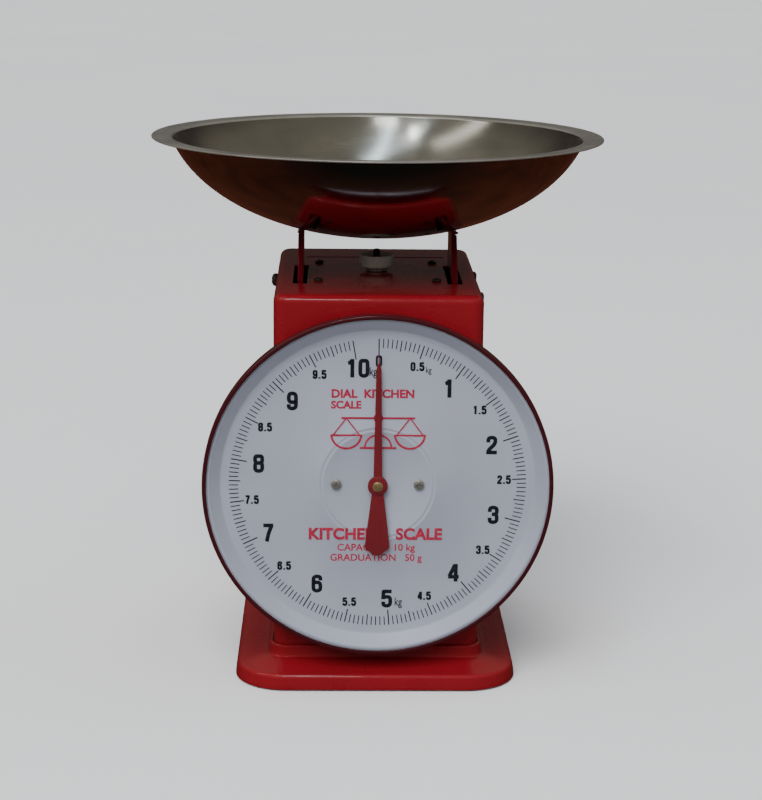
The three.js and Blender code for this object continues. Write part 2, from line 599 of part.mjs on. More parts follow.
function addBowl() {
  const { rim, wall, top, bottom, sheet } = BOWL;
  const { flat } = BOWL_CURVE;
  const steps = 9;
  const radii = Array.from(
    { length: steps + 1 },
    (_, i) => flat + (wall - flat) * Math.sin((i * Math.PI) / 2 / steps),
  );
  const outside = radii.map((radius) => [radius, bottom + bowlRise(radius)]);
  const inside = outside.map(([radius, z], i) => {
    const [before, after] = [outside[Math.max(0, i - 1)], outside[Math.min(steps, i + 1)]];
    const run = Math.hypot(after[0] - before[0], after[1] - before[1]);
    return [radius - (sheet * (after[1] - before[1])) / run, z + (sheet * (after[0] - before[0])) / run];
  });
  const neck = outside[steps][1];
  const lipUnder = [[wall + 2.2, neck + 1.6], [rim - 1.5, top - 1.6], [rim, top - 1]];
  const lip = [...lipUnder, [rim, top], [rim - 2, top - 0.6], [wall + 1.6, neck + 2.5]];
  inside[0] = [flat, bottom + sheet];
  const section = [[0, bottom], ...outside, ...lip, ...inside.reverse(), [0, bottom + sheet]];
  add(part, "bowl", turned(section, 56), STAINLESS);
}

addBase();
addHousing();
addRearCover();
addChassis();
addZeroAdjuster();
addSprings();
addLoadCarrier();
addLinks();
addDialCase();
addPointer();
addMovement();
addRack();
addBowl();

export default part;
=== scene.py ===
"""A dial kitchen scale: visible surfaces, printing, materials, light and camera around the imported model.

Lengths are millimetres until a mesh is made. The frame is the model's own: +Z is up and -Y is towards the
reader of the dial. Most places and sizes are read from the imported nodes' boxes. The rest are the model's own.
"""

import json
import math

import bmesh
import bpy
from mathutils import Matrix, Vector


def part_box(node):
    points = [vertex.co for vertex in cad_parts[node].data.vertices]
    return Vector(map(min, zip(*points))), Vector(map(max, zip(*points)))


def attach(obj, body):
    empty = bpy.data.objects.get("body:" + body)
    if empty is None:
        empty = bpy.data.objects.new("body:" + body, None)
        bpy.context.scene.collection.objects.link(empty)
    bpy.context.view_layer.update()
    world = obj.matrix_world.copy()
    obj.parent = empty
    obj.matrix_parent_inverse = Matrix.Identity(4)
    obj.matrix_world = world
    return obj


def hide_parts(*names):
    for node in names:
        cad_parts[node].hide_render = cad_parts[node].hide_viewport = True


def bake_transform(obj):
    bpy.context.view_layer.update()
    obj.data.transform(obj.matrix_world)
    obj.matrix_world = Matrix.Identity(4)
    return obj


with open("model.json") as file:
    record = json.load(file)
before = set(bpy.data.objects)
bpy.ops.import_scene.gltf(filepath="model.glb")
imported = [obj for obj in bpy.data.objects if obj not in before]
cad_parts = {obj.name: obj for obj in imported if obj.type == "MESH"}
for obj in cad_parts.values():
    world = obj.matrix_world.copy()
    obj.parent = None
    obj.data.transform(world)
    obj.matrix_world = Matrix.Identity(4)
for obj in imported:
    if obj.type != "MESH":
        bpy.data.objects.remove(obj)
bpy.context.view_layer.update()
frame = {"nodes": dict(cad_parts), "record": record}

MM = 0.001

# ---- places and sizes taken from the frame


def node_box(node):
    """A node's lowest and highest corners, in millimetres."""
    low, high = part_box(node)
    return low / MM, high / MM


def middle(node):
    low, high = node_box(node)
    return (low + high) / 2


BEZEL_LOW, BEZEL_HIGH = node_box("bezel_ring")
RIM_RADIUS = (BEZEL_HIGH.x - BEZEL_LOW.x) / 2
HOUSING_LOW, HOUSING_HIGH = node_box("housing_shell")
DIAL_BACK = -HOUSING_HIGH.y - 0.3  # where the dial's own z starts
DIAL = Matrix.Translation((0, DIAL_BACK, middle("bezel_ring").z)) @ Matrix.Rotation(math.pi / 2, 4, "X")
RIM_FRONT = DIAL_BACK - BEZEL_LOW.y  # the rim's front, in the dial's own z
BOWL_LOW, BOWL_HIGH = node_box("bowl")
BASE_HIGH = node_box("base_tray")[1]
TOP = HOUSING_HIGH.z
SIDES, ENDS = ("left", "right"), ("front", "rear")  # parts of the names of paired nodes

# ---- materials


class Nodes:
    """A small builder for one material's node tree."""

    def __init__(self, name):
        self.material = bpy.data.materials.new(name)
        self.material.use_nodes = True
        self.tree = self.material.node_tree
        self.shader = self.tree.nodes["Principled BSDF"]
        self.place = self.add("ShaderNodeTexCoord").outputs["Object"]

    def add(self, kind, settings=None, **inputs):
        node = self.tree.nodes.new(kind)
        for key, value in (settings or {}).items():
            setattr(node, key, value)
        for key, value in inputs.items():
            self.feed(node.inputs[key.replace("_", " ")], value)
        return node

    def feed(self, socket, value):
        if isinstance(value, bpy.types.NodeSocket):
            self.tree.links.new(value, socket)
        else:
            socket.default_value = value

    def noise(self, scale, detail=4.0, stretch=(1, 1, 1), place=None):
        mapped = self.add("ShaderNodeMapping", Vector=place or self.place, Scale=stretch).outputs[0]
        texture = self.add("ShaderNodeTexNoise", Vector=mapped, Scale=scale, Detail=detail)
        return texture.outputs["Fac"]

    def spread(self, factor, low, high, start=0.3, end=0.7):
        """factor from start to end, mapped to low to high."""
        settings = {"From Min": start, "From Max": end, "To Min": low, "To Max": high}
        node = self.add("ShaderNodeMapRange", Value=factor)
        for key, value in settings.items():
            node.inputs[key].default_value = value
        return node.outputs["Result"]

    def mix(self, factor, first, second):
        node = self.add("ShaderNodeMix", {"data_type": "RGBA"})
        for index, value in ((0, factor), (6, first), (7, second)):
            self.feed(node.inputs[index], value)
        return node.outputs[2]

    def math(self, operation, *values):
        node = self.add("ShaderNodeMath", {"operation": operation})
        for index, value in enumerate(values):
            self.feed(node.inputs[index], value)
        return node.outputs[0]

    def bump(self, height, distance, strength):
        node = self.add("ShaderNodeBump", Height=height, Distance=distance, Strength=strength)
        return node.outputs["Normal"]

    def set(self, **inputs):
        for key, value in inputs.items():
            self.feed(self.shader.inputs[key.replace("_", " ")], value)
        return self.material


def rgb(red, green, blue):
    return (red, green, blue, 1.0)


def shade(color, factor):
    return rgb(*(min(1.0, channel * factor) for channel in color[:3]))


def painted(name, color, roughness, coat=0.5):
    """Stove enamel on sheet steel: faint clouding, orange peel and a clear gloss over it."""
    n = Nodes(name)
    clouds = n.noise(14, 3)
    dust = n.noise(1300, 1)
    tint = n.mix(n.spread(clouds, 0, 1), shade(color, 0.9), shade(color, 1.1))
    tint = n.mix(n.spread(dust, 0, 0.2, 0.68, 0.8), tint, shade(color, 0.5))
    peel = n.bump(n.noise(260, 1), 0.00012, 0.06)
    rough = n.spread(n.noise(55, 3), roughness * 0.85, roughness * 1.2)
    return n.set(Base_Color=tint, Roughness=rough, Normal=peel, Specular_IOR_Level=0.15, Coat_Weight=coat,
                 Coat_Roughness=0.05)


def plated(name, color, roughness, metallic=0.8):
    """Bright or dark plated steel with a fine grain and some handling marks."""
    n = Nodes(name)
    fine = n.noise(600, 3)
    stain = n.noise(45, 4)
    tint = n.mix(n.spread(stain, 0, 1), shade(color, 0.78), shade(color, 1.15))
    rough = n.spread(fine, roughness * 0.7, roughness * 1.3)
    return n.set(Base_Color=tint, Metallic=metallic, Roughness=rough, Normal=n.bump(fine, 0.0002, 0.25))


def moulded(name, color, roughness):
    """Moulded plastic or rubber with a fine texture."""
    n = Nodes(name)
    tint = n.mix(n.spread(n.noise(60, 4), 0, 1), shade(color, 0.85), shade(color, 1.1))
    rough = n.spread(n.noise(160, 3), roughness * 0.85, roughness * 1.15)
    return n.set(Base_Color=tint, Roughness=rough, Normal=n.bump(n.noise(1400, 2), 0.0003, 0.3))


def spun_steel(name, color, roughness, rings, metallic, anisotropy):
    """Stainless spun on a lathe: fine rings round the axis, cloudy stains and a glint across the rings."""
    n = Nodes(name)
    split = n.add("ShaderNodeSeparateXYZ", Vector=n.place)
    squares = [n.math("POWER", split.outputs[axis], 2.0) for axis in ("X", "Y")]
    across = n.math("SQRT", n.math("ADD", *squares))
    ring_place = n.add("ShaderNodeCombineXYZ", X=across, Y=0.0, Z=0.0).outputs[0]
    fine = n.noise(rings, 5, (1, 1, 1), ring_place)
    stain = n.noise(16, 5, (1, 1, 2.5))
    tint = n.mix(n.spread(stain, 0, 1), shade(color, 0.74), shade(color, 1.12))
    tint = n.mix(n.spread(fine, 0, 0.3), tint, shade(color, 0.6))
    scratched, stained = n.spread(fine, 0, roughness * 0.5), n.spread(stain, roughness * 0.7, roughness * 1.1)
    rough = n.math("ADD", scratched, stained)
    tangent = n.add("ShaderNodeTangent", {"direction_type": "RADIAL", "axis": "Z"}).outputs[0]
    return n.set(Base_Color=tint, Metallic=metallic, Roughness=rough, Normal=n.bump(fine, 0.00006, 0.15),
                 Tangent=tangent, Anisotropic=anisotropy, Anisotropic_Rotation=0.25)


def dial_enamel(name, color):
    """Printed white enamel, slightly uneven."""
    n = Nodes(name)
    tint = n.mix(n.spread(n.noise(28, 4), 0, 1), shade(color, 0.95), shade(color, 1.03))
    tint = n.mix(n.spread(n.noise(1500, 2), 0, 0.12, 0.6, 0.8), tint, shade(color, 0.7))
    return n.set(Base_Color=tint, Roughness=n.spread(n.noise(90, 3), 0.3, 0.42),
                 Normal=n.bump(n.noise(300, 2), 0.0002, 0.1))


def printed(name, color):
    """Screen-printing ink, a little thin in places."""
    n = Nodes(name)
    tint = n.mix(n.spread(n.noise(900, 3), 0, 1), shade(color, 0.8), shade(color, 1.5))
    rough = n.spread(n.noise(200, 2), 0.5, 0.7)
    return n.set(Base_Color=tint, Roughness=rough, Specular_IOR_Level=0.2)


def clear_cover(name):
    """A thin clear sheet, faintly smeared."""
    n = Nodes(name)
    smear = n.spread(n.noise(12, 3), 0.05, 0.12)
    return n.set(Base_Color=rgb(0.05, 0.055, 0.06), Roughness=smear, Alpha=0.04, Specular_IOR_Level=0.5)


RED = painted("red_enamel", rgb(0.22, 0.008, 0.013), 0.28, 0.7)
DARK_RED = painted("dark_red_enamel", rgb(0.1, 0.003, 0.007), 0.3)
# The dial's rim: a far darker copy of the red enamel, painted shade and painted dark reflection for its rounded
# edge.
RIM_RED_PAINTED_SHADE = painted("rim_enamel_painted_shade", rgb(0.045, 0.006, 0.009), 0.3, 0.8)
BOWL_INSIDE = spun_steel("bowl_inside", rgb(0.55, 0.54, 0.5), 0.2, 2600, 1.0, 0.8)
BOWL_OUTSIDE = spun_steel("bowl_outside", rgb(0.42, 0.4, 0.38), 0.1, 2200, 1.0, 0.5)
BOWL_LIP = spun_steel("bowl_lip", rgb(0.5, 0.48, 0.43), 0.25, 3000, 0.75, 0.3)
ZINC = plated("zinc_plate", rgb(0.55, 0.54, 0.48), 0.3, 0.75)
DARK_STEEL = plated("dark_steel", rgb(0.1, 0.09, 0.08), 0.38)
SPRING_STEEL = plated("spring_steel", rgb(0.36, 0.36, 0.34), 0.3)
BRASS = plated("turned_brass", rgb(0.62, 0.45, 0.2), 0.28)
ENAMEL = dial_enamel("dial_enamel", rgb(0.4, 0.42, 0.5))
BLACK_INK = printed("black_ink", rgb(0.008, 0.008, 0.014))
RED_INK = printed("red_ink", rgb(0.36, 0.02, 0.05))
POINTER_RED = painted("pointer_red", rgb(0.16, 0.012, 0.016), 0.4, 0.2)
CREAM = moulded("knob_plastic", rgb(0.44, 0.4, 0.32), 0.45)
RUBBER = moulded("foot_rubber", rgb(0.02, 0.02, 0.02), 0.75)
CLEAR = clear_cover("clear_cover")

# ---- mesh helpers


def add_object(name, data):
    piece = bpy.data.objects.new(name, data)
    bpy.context.scene.collection.objects.link(piece)
    return piece


def finish_mesh(name, vertices, faces, materials, body, replaced=(), slot=None, place=Matrix(), sharp=35,
                bevel=0.0, face_material=None):
    """A piece from millimetre vertices: placed, bevelled, smoothed and set riding on its body.

    face_material gives each face's index into materials.
    """
    mesh = bpy.data.meshes.new(name)
    mesh.from_pydata([Vector(v) for v in vertices], [], faces)
    mesh.transform(Matrix.Scale(MM, 4) @ place)
    mesh.validate()
    for material in materials if isinstance(materials, (list, tuple)) else [materials]:
        mesh.materials.append(material)
    if face_material:
        for polygon, index in zip(mesh.polygons, face_material):
            polygon.material_index = index
    return finish_piece(add_object(name, mesh), body, replaced, sharp, bevel)


def finish_piece(piece, body, replaced=(), sharp=35, bevel=0.0):
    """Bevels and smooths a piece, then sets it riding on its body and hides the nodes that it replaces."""
    turn_faces_out(piece.data)
    if bevel:
        modifier = piece.modifiers.new("rounded_edges", "BEVEL")
        modifier.width = bevel * MM
        modifier.segments = 3
        modifier.limit_method = "ANGLE"
        modifier.angle_limit = math.radians(40)
        apply_modifiers(piece)
    mesh = piece.data
    mesh.polygons.foreach_set("use_smooth", [True] * len(mesh.polygons))
    mesh.set_sharp_from_angle(angle=math.radians(sharp))
    if body:
        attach(piece, body)
    if replaced:
        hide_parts(*([replaced] if isinstance(replaced, str) else replaced))
    return piece


def turn_faces_out(mesh):
    """Turns every face's front to the outside, which cutting and shading need."""
    shape = bmesh.new()
    shape.from_mesh(mesh)
    bmesh.ops.recalc_face_normals(shape, faces=shape.faces)
    shape.to_mesh(mesh)
    shape.free()


def apply_modifiers(piece):
    graph = bpy.context.evaluated_depsgraph_get()
    evaluated = bpy.data.meshes.new_from_object(piece.evaluated_get(graph))
    old = piece.data
    piece.modifiers.clear()
    piece.data = evaluated
    bpy.data.meshes.remove(old)


def arc(centre, radius, start, end, steps):
    """Points on a circle between two angles in degrees."""
    angles = [math.radians(start + (end - start) * i / steps) for i in range(steps + 1)]
    return [(centre[0] + radius * math.cos(a), centre[1] + radius * math.sin(a)) for a in angles]


def circle(centre, radius, sides):
    return arc(centre, radius, 0, 360 - 360 / sides, sides - 1)


def smooth_path(points, steps):
    """A Catmull-Rom curve through 2-D points."""
    padded = [points[0], *points, points[-1]]
    path = []
    for a, b, c, d in zip(padded, padded[1:], padded[2:], padded[3:]):
        for i in range(steps):
            t = i / steps
            path.append(tuple(
                0.5 * (2 * q + (r - p) * t + (2 * p - 5 * q + 4 * r - s) * t * t
                       + (3 * q - p - 3 * r + s) * t ** 3)
                for p, q, r, s in zip(a, b, c, d)
            ))
    return path + [points[-1]]


AXIS = 1e-6  # a radius up to this lies on the axis


def lathe(section, sides):
    """[radius, height] points turned round z: the vertices, and each point's row of them.

    A point on the axis becomes one vertex.
    """
    vertices, rows = [], []
    for radius, height in section:
        if radius < AXIS:
            rows.append([len(vertices)])
            vertices.append((0, 0, height))
        else:
            rows.append(list(range(len(vertices), len(vertices) + sides)))
            angles = [2 * math.pi * i / sides for i in range(sides)]
            vertices += [(radius * math.cos(a), radius * math.sin(a), height) for a in angles]
    return vertices, rows


def lathe_faces(rows, closed):
    """Faces between neighbouring rows, and for each face the number of the row that it starts from."""
    faces, source = [], []
    pairs = list(zip(rows, rows[1:])) + ([(rows[-1], rows[0])] if closed else [])
    for index, (low, high) in enumerate(pairs):
        sides = max(len(low), len(high))
        if sides == 1:
            continue
        for i in range(sides):
            j = (i + 1) % sides
            corners = [low[i % len(low)], low[j % len(low)], high[j % len(high)], high[i % len(high)]]
            face = list(dict.fromkeys(corners))
            if len(face) > 2:
                faces.append(face)
                source.append(index)
    return faces, source


def turned(name, section, materials, body, sides=128, closed=None, row_material=None, **options):
    """A turned piece. closed joins the section's ends; it is on unless both ends lie on the axis.

    row_material gives the index of the material between a point of the section and the next.
    """
    if closed is None:
        closed = section[0][0] > AXIS or section[-1][0] > AXIS
    vertices, rows = lathe(section, sides)
    faces, source = lathe_faces(rows, closed)
    chosen = [row_material(index) for index in source] if row_material else None
    finish_mesh(name, vertices, faces, materials, body, face_material=chosen, **options)


def swept(section, half_x, half_y, corner, steps=12):
    """[inset, height] points carried round a rounded rectangle, closed on themselves."""
    vertices = []
    for inset, height in section:
        for quarter, (side_x, side_y) in enumerate([(1, 1), (-1, 1), (-1, -1), (1, -1)]):
            for step in range(steps + 1):
                angle = math.radians(90 * (quarter + step / steps))
                radius = corner - inset
                vertices.append((
                    side_x * (half_x - corner) + radius * math.cos(angle),
                    side_y * (half_y - corner) + radius * math.sin(angle),
                    height,
                ))
    around = 4 * (steps + 1)
    faces = []
    for row in range(len(section)):
        following = (row + 1) % len(section)
        for i in range(around):
            j = (i + 1) % around
            faces.append((row * around + i, row * around + j, following * around + j, following * around + i))
    return vertices, faces


def plate(outline, low, high):
    """A flat piece with an outline in its own x and y."""
    count = len(outline)
    vertices = [(x, y, low) for x, y in outline] + [(x, y, high) for x, y in outline]
    sides = [(i, (i + 1) % count, (i + 1) % count + count, i + count) for i in range(count)]
    return vertices, [tuple(range(count - 1, -1, -1)), tuple(range(count, 2 * count)), *sides]


def plain_object(name, vertices, faces):
    mesh = bpy.data.meshes.new(name)
    mesh.from_pydata([Vector(v) * MM for v in vertices], [], faces)
    return add_object(name, mesh)


def cut_away(piece, cutters):
    """Cuts scratch objects out of a piece and deletes them."""
    for cutter in cutters:
        modifier = piece.modifiers.new("cut", "BOOLEAN")
        modifier.operation = "DIFFERENCE"
        modifier.solver = "EXACT"
        modifier.object = cutter
    apply_modifiers(piece)
    for cutter in cutters:
        bpy.data.objects.remove(cutter)


def rectangle(left, low, right, high):
    return [(left, low), (right, low), (right, high), (left, high)]


def rounded_outline(half_x, half_y, radius, steps, centre):
    """A rectangle with round corners."""
    points = []
    for quarter, (x, y) in enumerate([(1, 1), (-1, 1), (-1, -1), (1, -1)]):
        corner = (centre[0] + x * (half_x - radius), centre[1] + y * (half_y - radius))
        points += arc(corner, radius, 90 * quarter, 90 * quarter + 90, steps)
    return points


def slab_cutter(outline, low, high, place=Matrix()):
    """A flat scratch object to cut with, its faces outward whichever way place turns it."""
    vertices, faces = plate(outline, low, high)
    cutter = plain_object("cutter", [place @ Vector(v) for v in vertices], faces)
    turn_faces_out(cutter.data)
    return cutter


def along(direction):
    """Turns +z to a direction."""
    return Vector(direction).to_track_quat("Z", "Y").to_matrix().to_4x4()


# ---- screws


def pan_head(name, node, direction, head, height, shank, length, material):
    """A pan-head screw whose head points along direction, with a cross recess. head and shank are radii."""
    angles = [math.radians(a) for a in range(90, -1, -10)]
    dome = [(head * math.sin(a), height * (0.35 + 0.65 * math.cos(a))) for a in angles]
    section = [(0, -length), (shank, -length + 0.6), (shank, 0), (head * 0.94, 0), (head, height * 0.14),
               *dome]
    vertices, rows = lathe(section, 40)
    faces, _ = lathe_faces(rows, False)
    slot, reach, floor = head * 0.13, head * 0.52, height * 0.4
    place = Matrix.Translation(screw_seat(node, direction, height)) @ along(direction)
    piece = plain_object(name, [place @ Vector(v) for v in vertices], faces)
    arms = [rectangle(-x, -y, x, y) for x, y in ((reach, slot), (slot, reach))]
    cut_away(piece, [slab_cutter(arm, floor, height * 2, place) for arm in arms])
    piece.data.materials.append(material)
    finish_piece(piece, "root", node, 30)


def screw_seat(node, direction, height):
    """Where the underside of a screw's head sits: its outermost point along direction, less the head."""
    low, high = node_box(node)
    step = Vector(direction)
    outermost = (low + high) / 2 + Vector(a * b for a, b in zip(step, (high - low) / 2))
    return outermost - step * height


def node_slot(node):
    """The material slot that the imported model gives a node."""
    return next(s["material_slot"] for s in frame["record"]["subparts"] if s["node"] == node)


# Each kind's head radius, head height, shank radius and length.
DIAL_SCREW = (3.3, 2.2, 1.9, 18)
TOP_SCREW = (2.9, 1.8, 1.7, 7)
FOOT_SCREW = (4.2, 1.2, 1.9, 8)
COVER_SCREW = (3.2, 2, 1.5, 7)
SIDE_SCREWS = (("left", -1, (4.2, 3.8, 1.8, 7)), ("right_front", 1, (3.2, 2.6, 1.8, 7)),
               ("right_rear", 1, (3.4, 2.8, 1.8, 7)))


def add_screws():
    for side in SIDES:
        pan_head(f"dial_screw_{side}_head", f"dial_screw_{side}", (0, -1, 0), *DIAL_SCREW, ZINC)
        for end in ENDS:
            corner = f"{end}_{side}"
            pan_head(f"top_screw_{corner}", f"chassis_screw_{corner}", (0, 0, 1), *TOP_SCREW, DARK_STEEL)
            pan_head(f"foot_fixing_{corner}", f"foot_screw_{corner}", (0, 0, -1), *FOOT_SCREW, ZINC)
        for end in ("low", "high"):
            pan_head(f"rear_fixing_{end}_{side}", f"rear_screw_{end}_{side}", (0, 1, 0), *COVER_SCREW, ZINC)
    for name, direction, sizes in SIDE_SCREWS:
        pan_head(f"side_fixing_{name}", f"side_screw_{name}", (direction, 0, 0), *sizes, DARK_STEEL)


# ---- load posts, saddles and zero knob

SIDEWAYS = Matrix(((0, 0, 1, 0), (1, 0, 0, 0), (0, 1, 0, 0), (0, 0, 0, 1)))  # outlines in (y, z), along x
POST_THICK, POST_NECK = 3.4, TOP + 2
POST_TOP_FRONT, POST_TOP_REAR = -26, 14
SADDLE_THICK, SADDLE_END_THICK = 2.5, 1.3
REST_GAP = 0.3  # between pieces that rest on one another
LINK_PINS = (("upper", 182.2), ("lower", 112.2))  # heights of the links' pins in the posts
LINK_PIN_START = 37.0  # from the middle
BOWL_ACROSS, BOWL_DEEP, BOWL_FLAT = 132.5, 80.2, 25  # the ellipse's half width and depth; the flat's radius


def bowl_rise(radius):
    """The bowl's outer surface above its flat bottom: half an ellipse, cut flat underneath."""

    def level(distance):
        return BOWL_DEEP * math.sqrt(1 - (distance / BOWL_ACROSS) ** 2)

    return level(BOWL_FLAT) - level(max(radius, BOWL_FLAT))


def sideways_plate(name, outline, start, end, *options, **named):
    """An outline in y and z, drawn out along x."""
    vertices, faces = plate(outline, start, end)
    finish_mesh(name, vertices, faces, *options, place=SIDEWAYS, **named)


def add_load_parts():
    for side, sign in (("left", -1), ("right", 1)):
        post_low, post_high = node_box(f"load_post_{side}")
        saddle_low, saddle_high = node_box(f"pan_saddle_{side}")
        edge = min(abs(saddle_low.x), abs(saddle_high.x))
        half = saddle_high.y

        def over(y):
            return BOWL_LOW.z + bowl_rise(math.hypot(edge, y)) - REST_GAP

        def under(y):
            return over(y) - SADDLE_THICK + (SADDLE_THICK - SADDLE_END_THICK) * (y / half) ** 2

        spots = [half * (i / 16 - 1) for i in range(33)]
        outline = [(y, under(y)) for y in spots] + [(y, over(y)) for y in reversed(spots)]
        sideways_plate(f"saddle_{side}", outline, saddle_low.x, saddle_high.x, DARK_RED, "platform",
                       bevel=0.5, replaced=f"pan_saddle_{side}", slot="dark_red_paint", sharp=30)

        outer = max(abs(post_low.x), abs(post_high.x))
        inner = outer - POST_THICK
        front, rear = post_low.y, post_high.y
        spots = [POST_TOP_REAR + (POST_TOP_FRONT - POST_TOP_REAR) * i / 12 for i in range(13)]
        outline = [(front, post_low.z), (rear, post_low.z), (rear, POST_NECK)]
        outline += [(y, under(y) - REST_GAP) for y in spots] + [(front, POST_NECK)]
        start, end = sorted((sign * inner, sign * outer))
        sideways_plate(f"post_{side}", outline, start, end, DARK_RED, "platform", bevel=0.7,
                       replaced=f"load_post_{side}", slot="dark_red_paint", sharp=30)
        for name, level in LINK_PINS:
            start, end = sorted((sign * LINK_PIN_START, sign * (inner + 0.4)))
            section = [(0, start), (1.7, start), (2, start + 0.3), (2, end), (0, end)]
            place = Matrix.Translation((0, 0, level)) @ along((1, 0, 0))
            turned(f"link_pin_{side}_{name}", section, ZINC, "platform", 32, place=place, slot="zinc_steel")


def add_zero_adjuster():
    rod_low, rod_high = node_box("zero_rod")
    knob_low, knob_high = node_box("zero_knob")
    crest, root, pitch = 2.5, 2.1, 0.8
    section = [(0, rod_low.z), (4.6, rod_low.z), (5, rod_low.z + 0.4), (5, rod_low.z + 4),
               (root, rod_low.z + 4)]
    height = rod_low.z + 5
    while height < rod_high.z - 1.4:
        section += [(root, height), (crest, height + pitch * 0.35), (crest, height + pitch * 0.5)]
        height += pitch
    section += [(root, height), (crest - 0.8, rod_high.z - 0.3), (crest - 1.2, rod_high.z), (0, rod_high.z)]
    turned("threaded_rod", section, DARK_STEEL, "zero_screw", 40, replaced="zero_rod", slot="dark_steel",
           sharp=60)

    grips, grip_depth = 40, 0.3
    outer, bore, rim, recess = knob_high.x, 2.9, 1.3, 2.4
    low, high = knob_low.z, knob_high.z
    floor = high - recess
    profile = [(bore, low), (outer - 1.6, low), (outer - 0.5, low + 0.6), (outer, low + 1.7),
               (outer, high - 1.2), (outer - 0.3, high - 0.3), (outer - 0.7, high), (outer - rim, high - 0.3),
               (outer - rim - 0.3, floor + 0.5), (outer - rim - 0.9, floor), (4.8, floor), (4.4, floor + 0.5),
               (4, floor + 0.6), (bore, floor + 0.6)]
    sides = grips * 6
    vertices, rows = lathe(profile, sides)
    shaped = []
    for x, y, z in vertices:
        r = math.hypot(x, y)
        wave = 0.5 + 0.5 * math.cos(math.atan2(y, x) * grips)
        depth = grip_depth * wave if r > outer - 0.4 else 0
        shaped.append((x * (1 - depth / r), y * (1 - depth / r), z))
    faces, _ = lathe_faces(rows, True)
    finish_mesh("knurled_zero_knob", shaped, faces, CREAM, "knob", replaced="zero_knob",
                slot="cream_plastic", sharp=50)

    bush_low, bush_high = node_box("zero_bush")
    flange = bush_high.x
    section = [(2.9, bush_low.z), (4.2, bush_low.z), (4.5, bush_low.z + 0.3), (4.5, TOP + 0.3),
               (flange - 0.3, TOP + 0.3), (flange, TOP + 0.6), (flange, bush_high.z - 0.4),
               (flange - 0.4, bush_high.z), (2.9, bush_high.z)]
    turned("zero_bushing", section, ZINC, "root", 64, replaced="zero_bush", slot="zinc_steel")


# ---- bowl

BOWL_FLANGE, BOWL_SHEET = 12.3, 0.8


def add_bowl():
    radius, top, bottom = BOWL_HIGH.x, BOWL_HIGH.z, BOWL_LOW.z
    flat, wall, sheet = BOWL_FLAT, radius - BOWL_FLANGE, BOWL_SHEET
    radii = [flat * 0.6, flat] + [flat + (wall - flat) * math.sin(math.pi / 2 * i / 30) for i in range(1, 31)]
    outside = [(r, bottom + bowl_rise(r)) for r in radii]
    neck = outside[-1][1]
    flange = [(wall + 0.3, neck + 0.4), (wall + 1.6, top - 1.2), (wall + 6, top - 1),
              (radius - 1.2, top - 1.1)]
    lip = smooth_path(flange, 4)
    edge = 0.55
    rolled = arc((radius - edge, top - edge), edge, -70, 110, 8)
    upper = [(x - 0.25, z + sheet) for x, z in reversed(lip)]
    inside = []
    for i, (r, z) in enumerate(outside):
        before, after = outside[max(i - 1, 0)], outside[min(i + 1, len(outside) - 1)]
        along_r, along_z = after[0] - before[0], after[1] - before[1]
        run = math.hypot(along_r, along_z)
        inside.append((r - sheet * along_z / run, z + sheet * along_r / run))
    inside[0] = (radii[0], bottom + sheet)
    section = [(0, bottom), *outside, *lip, *rolled, *upper, *reversed(inside), (0, bottom + sheet)]
    count_out = len(outside) + 1
    count_lip = count_out + len(lip)
    count_top = count_lip + len(rolled) + len(upper)

    def surface(row):
        """0 for the inside, 1 for the outside, 2 for the flange's top and edge."""
        if row < count_lip - 1:
            return 1
        return 2 if row < count_top else 0

    turned("steel_bowl", section, [BOWL_INSIDE, BOWL_OUTSIDE, BOWL_LIP], "bowl", 192, False,
           row_material=surface, replaced="bowl", slot="stainless", sharp=50)


# ---- housing, rear cover and base

# Outlines given as (x, z) and drawn out towards the front or the rear.
FRONT = Matrix(((1, 0, 0, 0), (0, 0, -1, 0), (0, 1, 0, 0), (0, 0, 0, 1)))
REAR = Matrix(((1, 0, 0, 0), (0, 0, 1, 0), (0, 1, 0, 0), (0, 0, 0, 1)))
SHEET = 1.2
SLOT_CLEARANCE = (3, 3.5)  # beside and beyond a load post, in the housing's top
GROOVE = rectangle(-45, 48.5, 45, 51.5)
REAR_OPENING = rounded_outline(46, 88.5, 6, 6, (0, 122.5))
COVER_SCREW_SPOTS = [(x, z) for x in (-51, 51) for z in (29, 216)]


def add_housing():
    half_x, half_y = HOUSING_HIGH.x, HOUSING_HIGH.y
    corner, round_top, low = 8, 5, HOUSING_LOW.z

    def bend(inset, radius, degrees):
        side, level = inset + radius, TOP - round_top
        angles = [math.radians(a) for a in degrees]
        return [(side - radius * math.cos(a), level + radius * math.sin(a)) for a in angles]

    outer = [(0, low), (0, low + 100), *bend(0, round_top, range(0, 91, 10))]
    inner = [*bend(SHEET, round_top - SHEET, range(90, -1, -15)), (SHEET, low)]
    vertices, faces = swept([*outer, *inner], half_x, half_y, corner)
    around = len(vertices) // (len(outer) + len(inner))
    last_outer, first_inner = len(outer) - 1, len(outer)
    # The two skins are closed over the top instead of being joined to one another there.
    faces = [f for f in faces if not (f[0] // around == last_outer and f[2] // around == first_inner)]
    faces.append(tuple(range(last_outer * around, (last_outer + 1) * around)))
    faces.append(tuple(range((first_inner + 1) * around - 1, first_inner * around - 1, -1)))
    piece = plain_object("housing", vertices, faces)
    cut_away(piece, housing_cutters(half_y))
    piece.data.materials.append(RED)
    finish_piece(piece, "root", "housing_shell", 30)


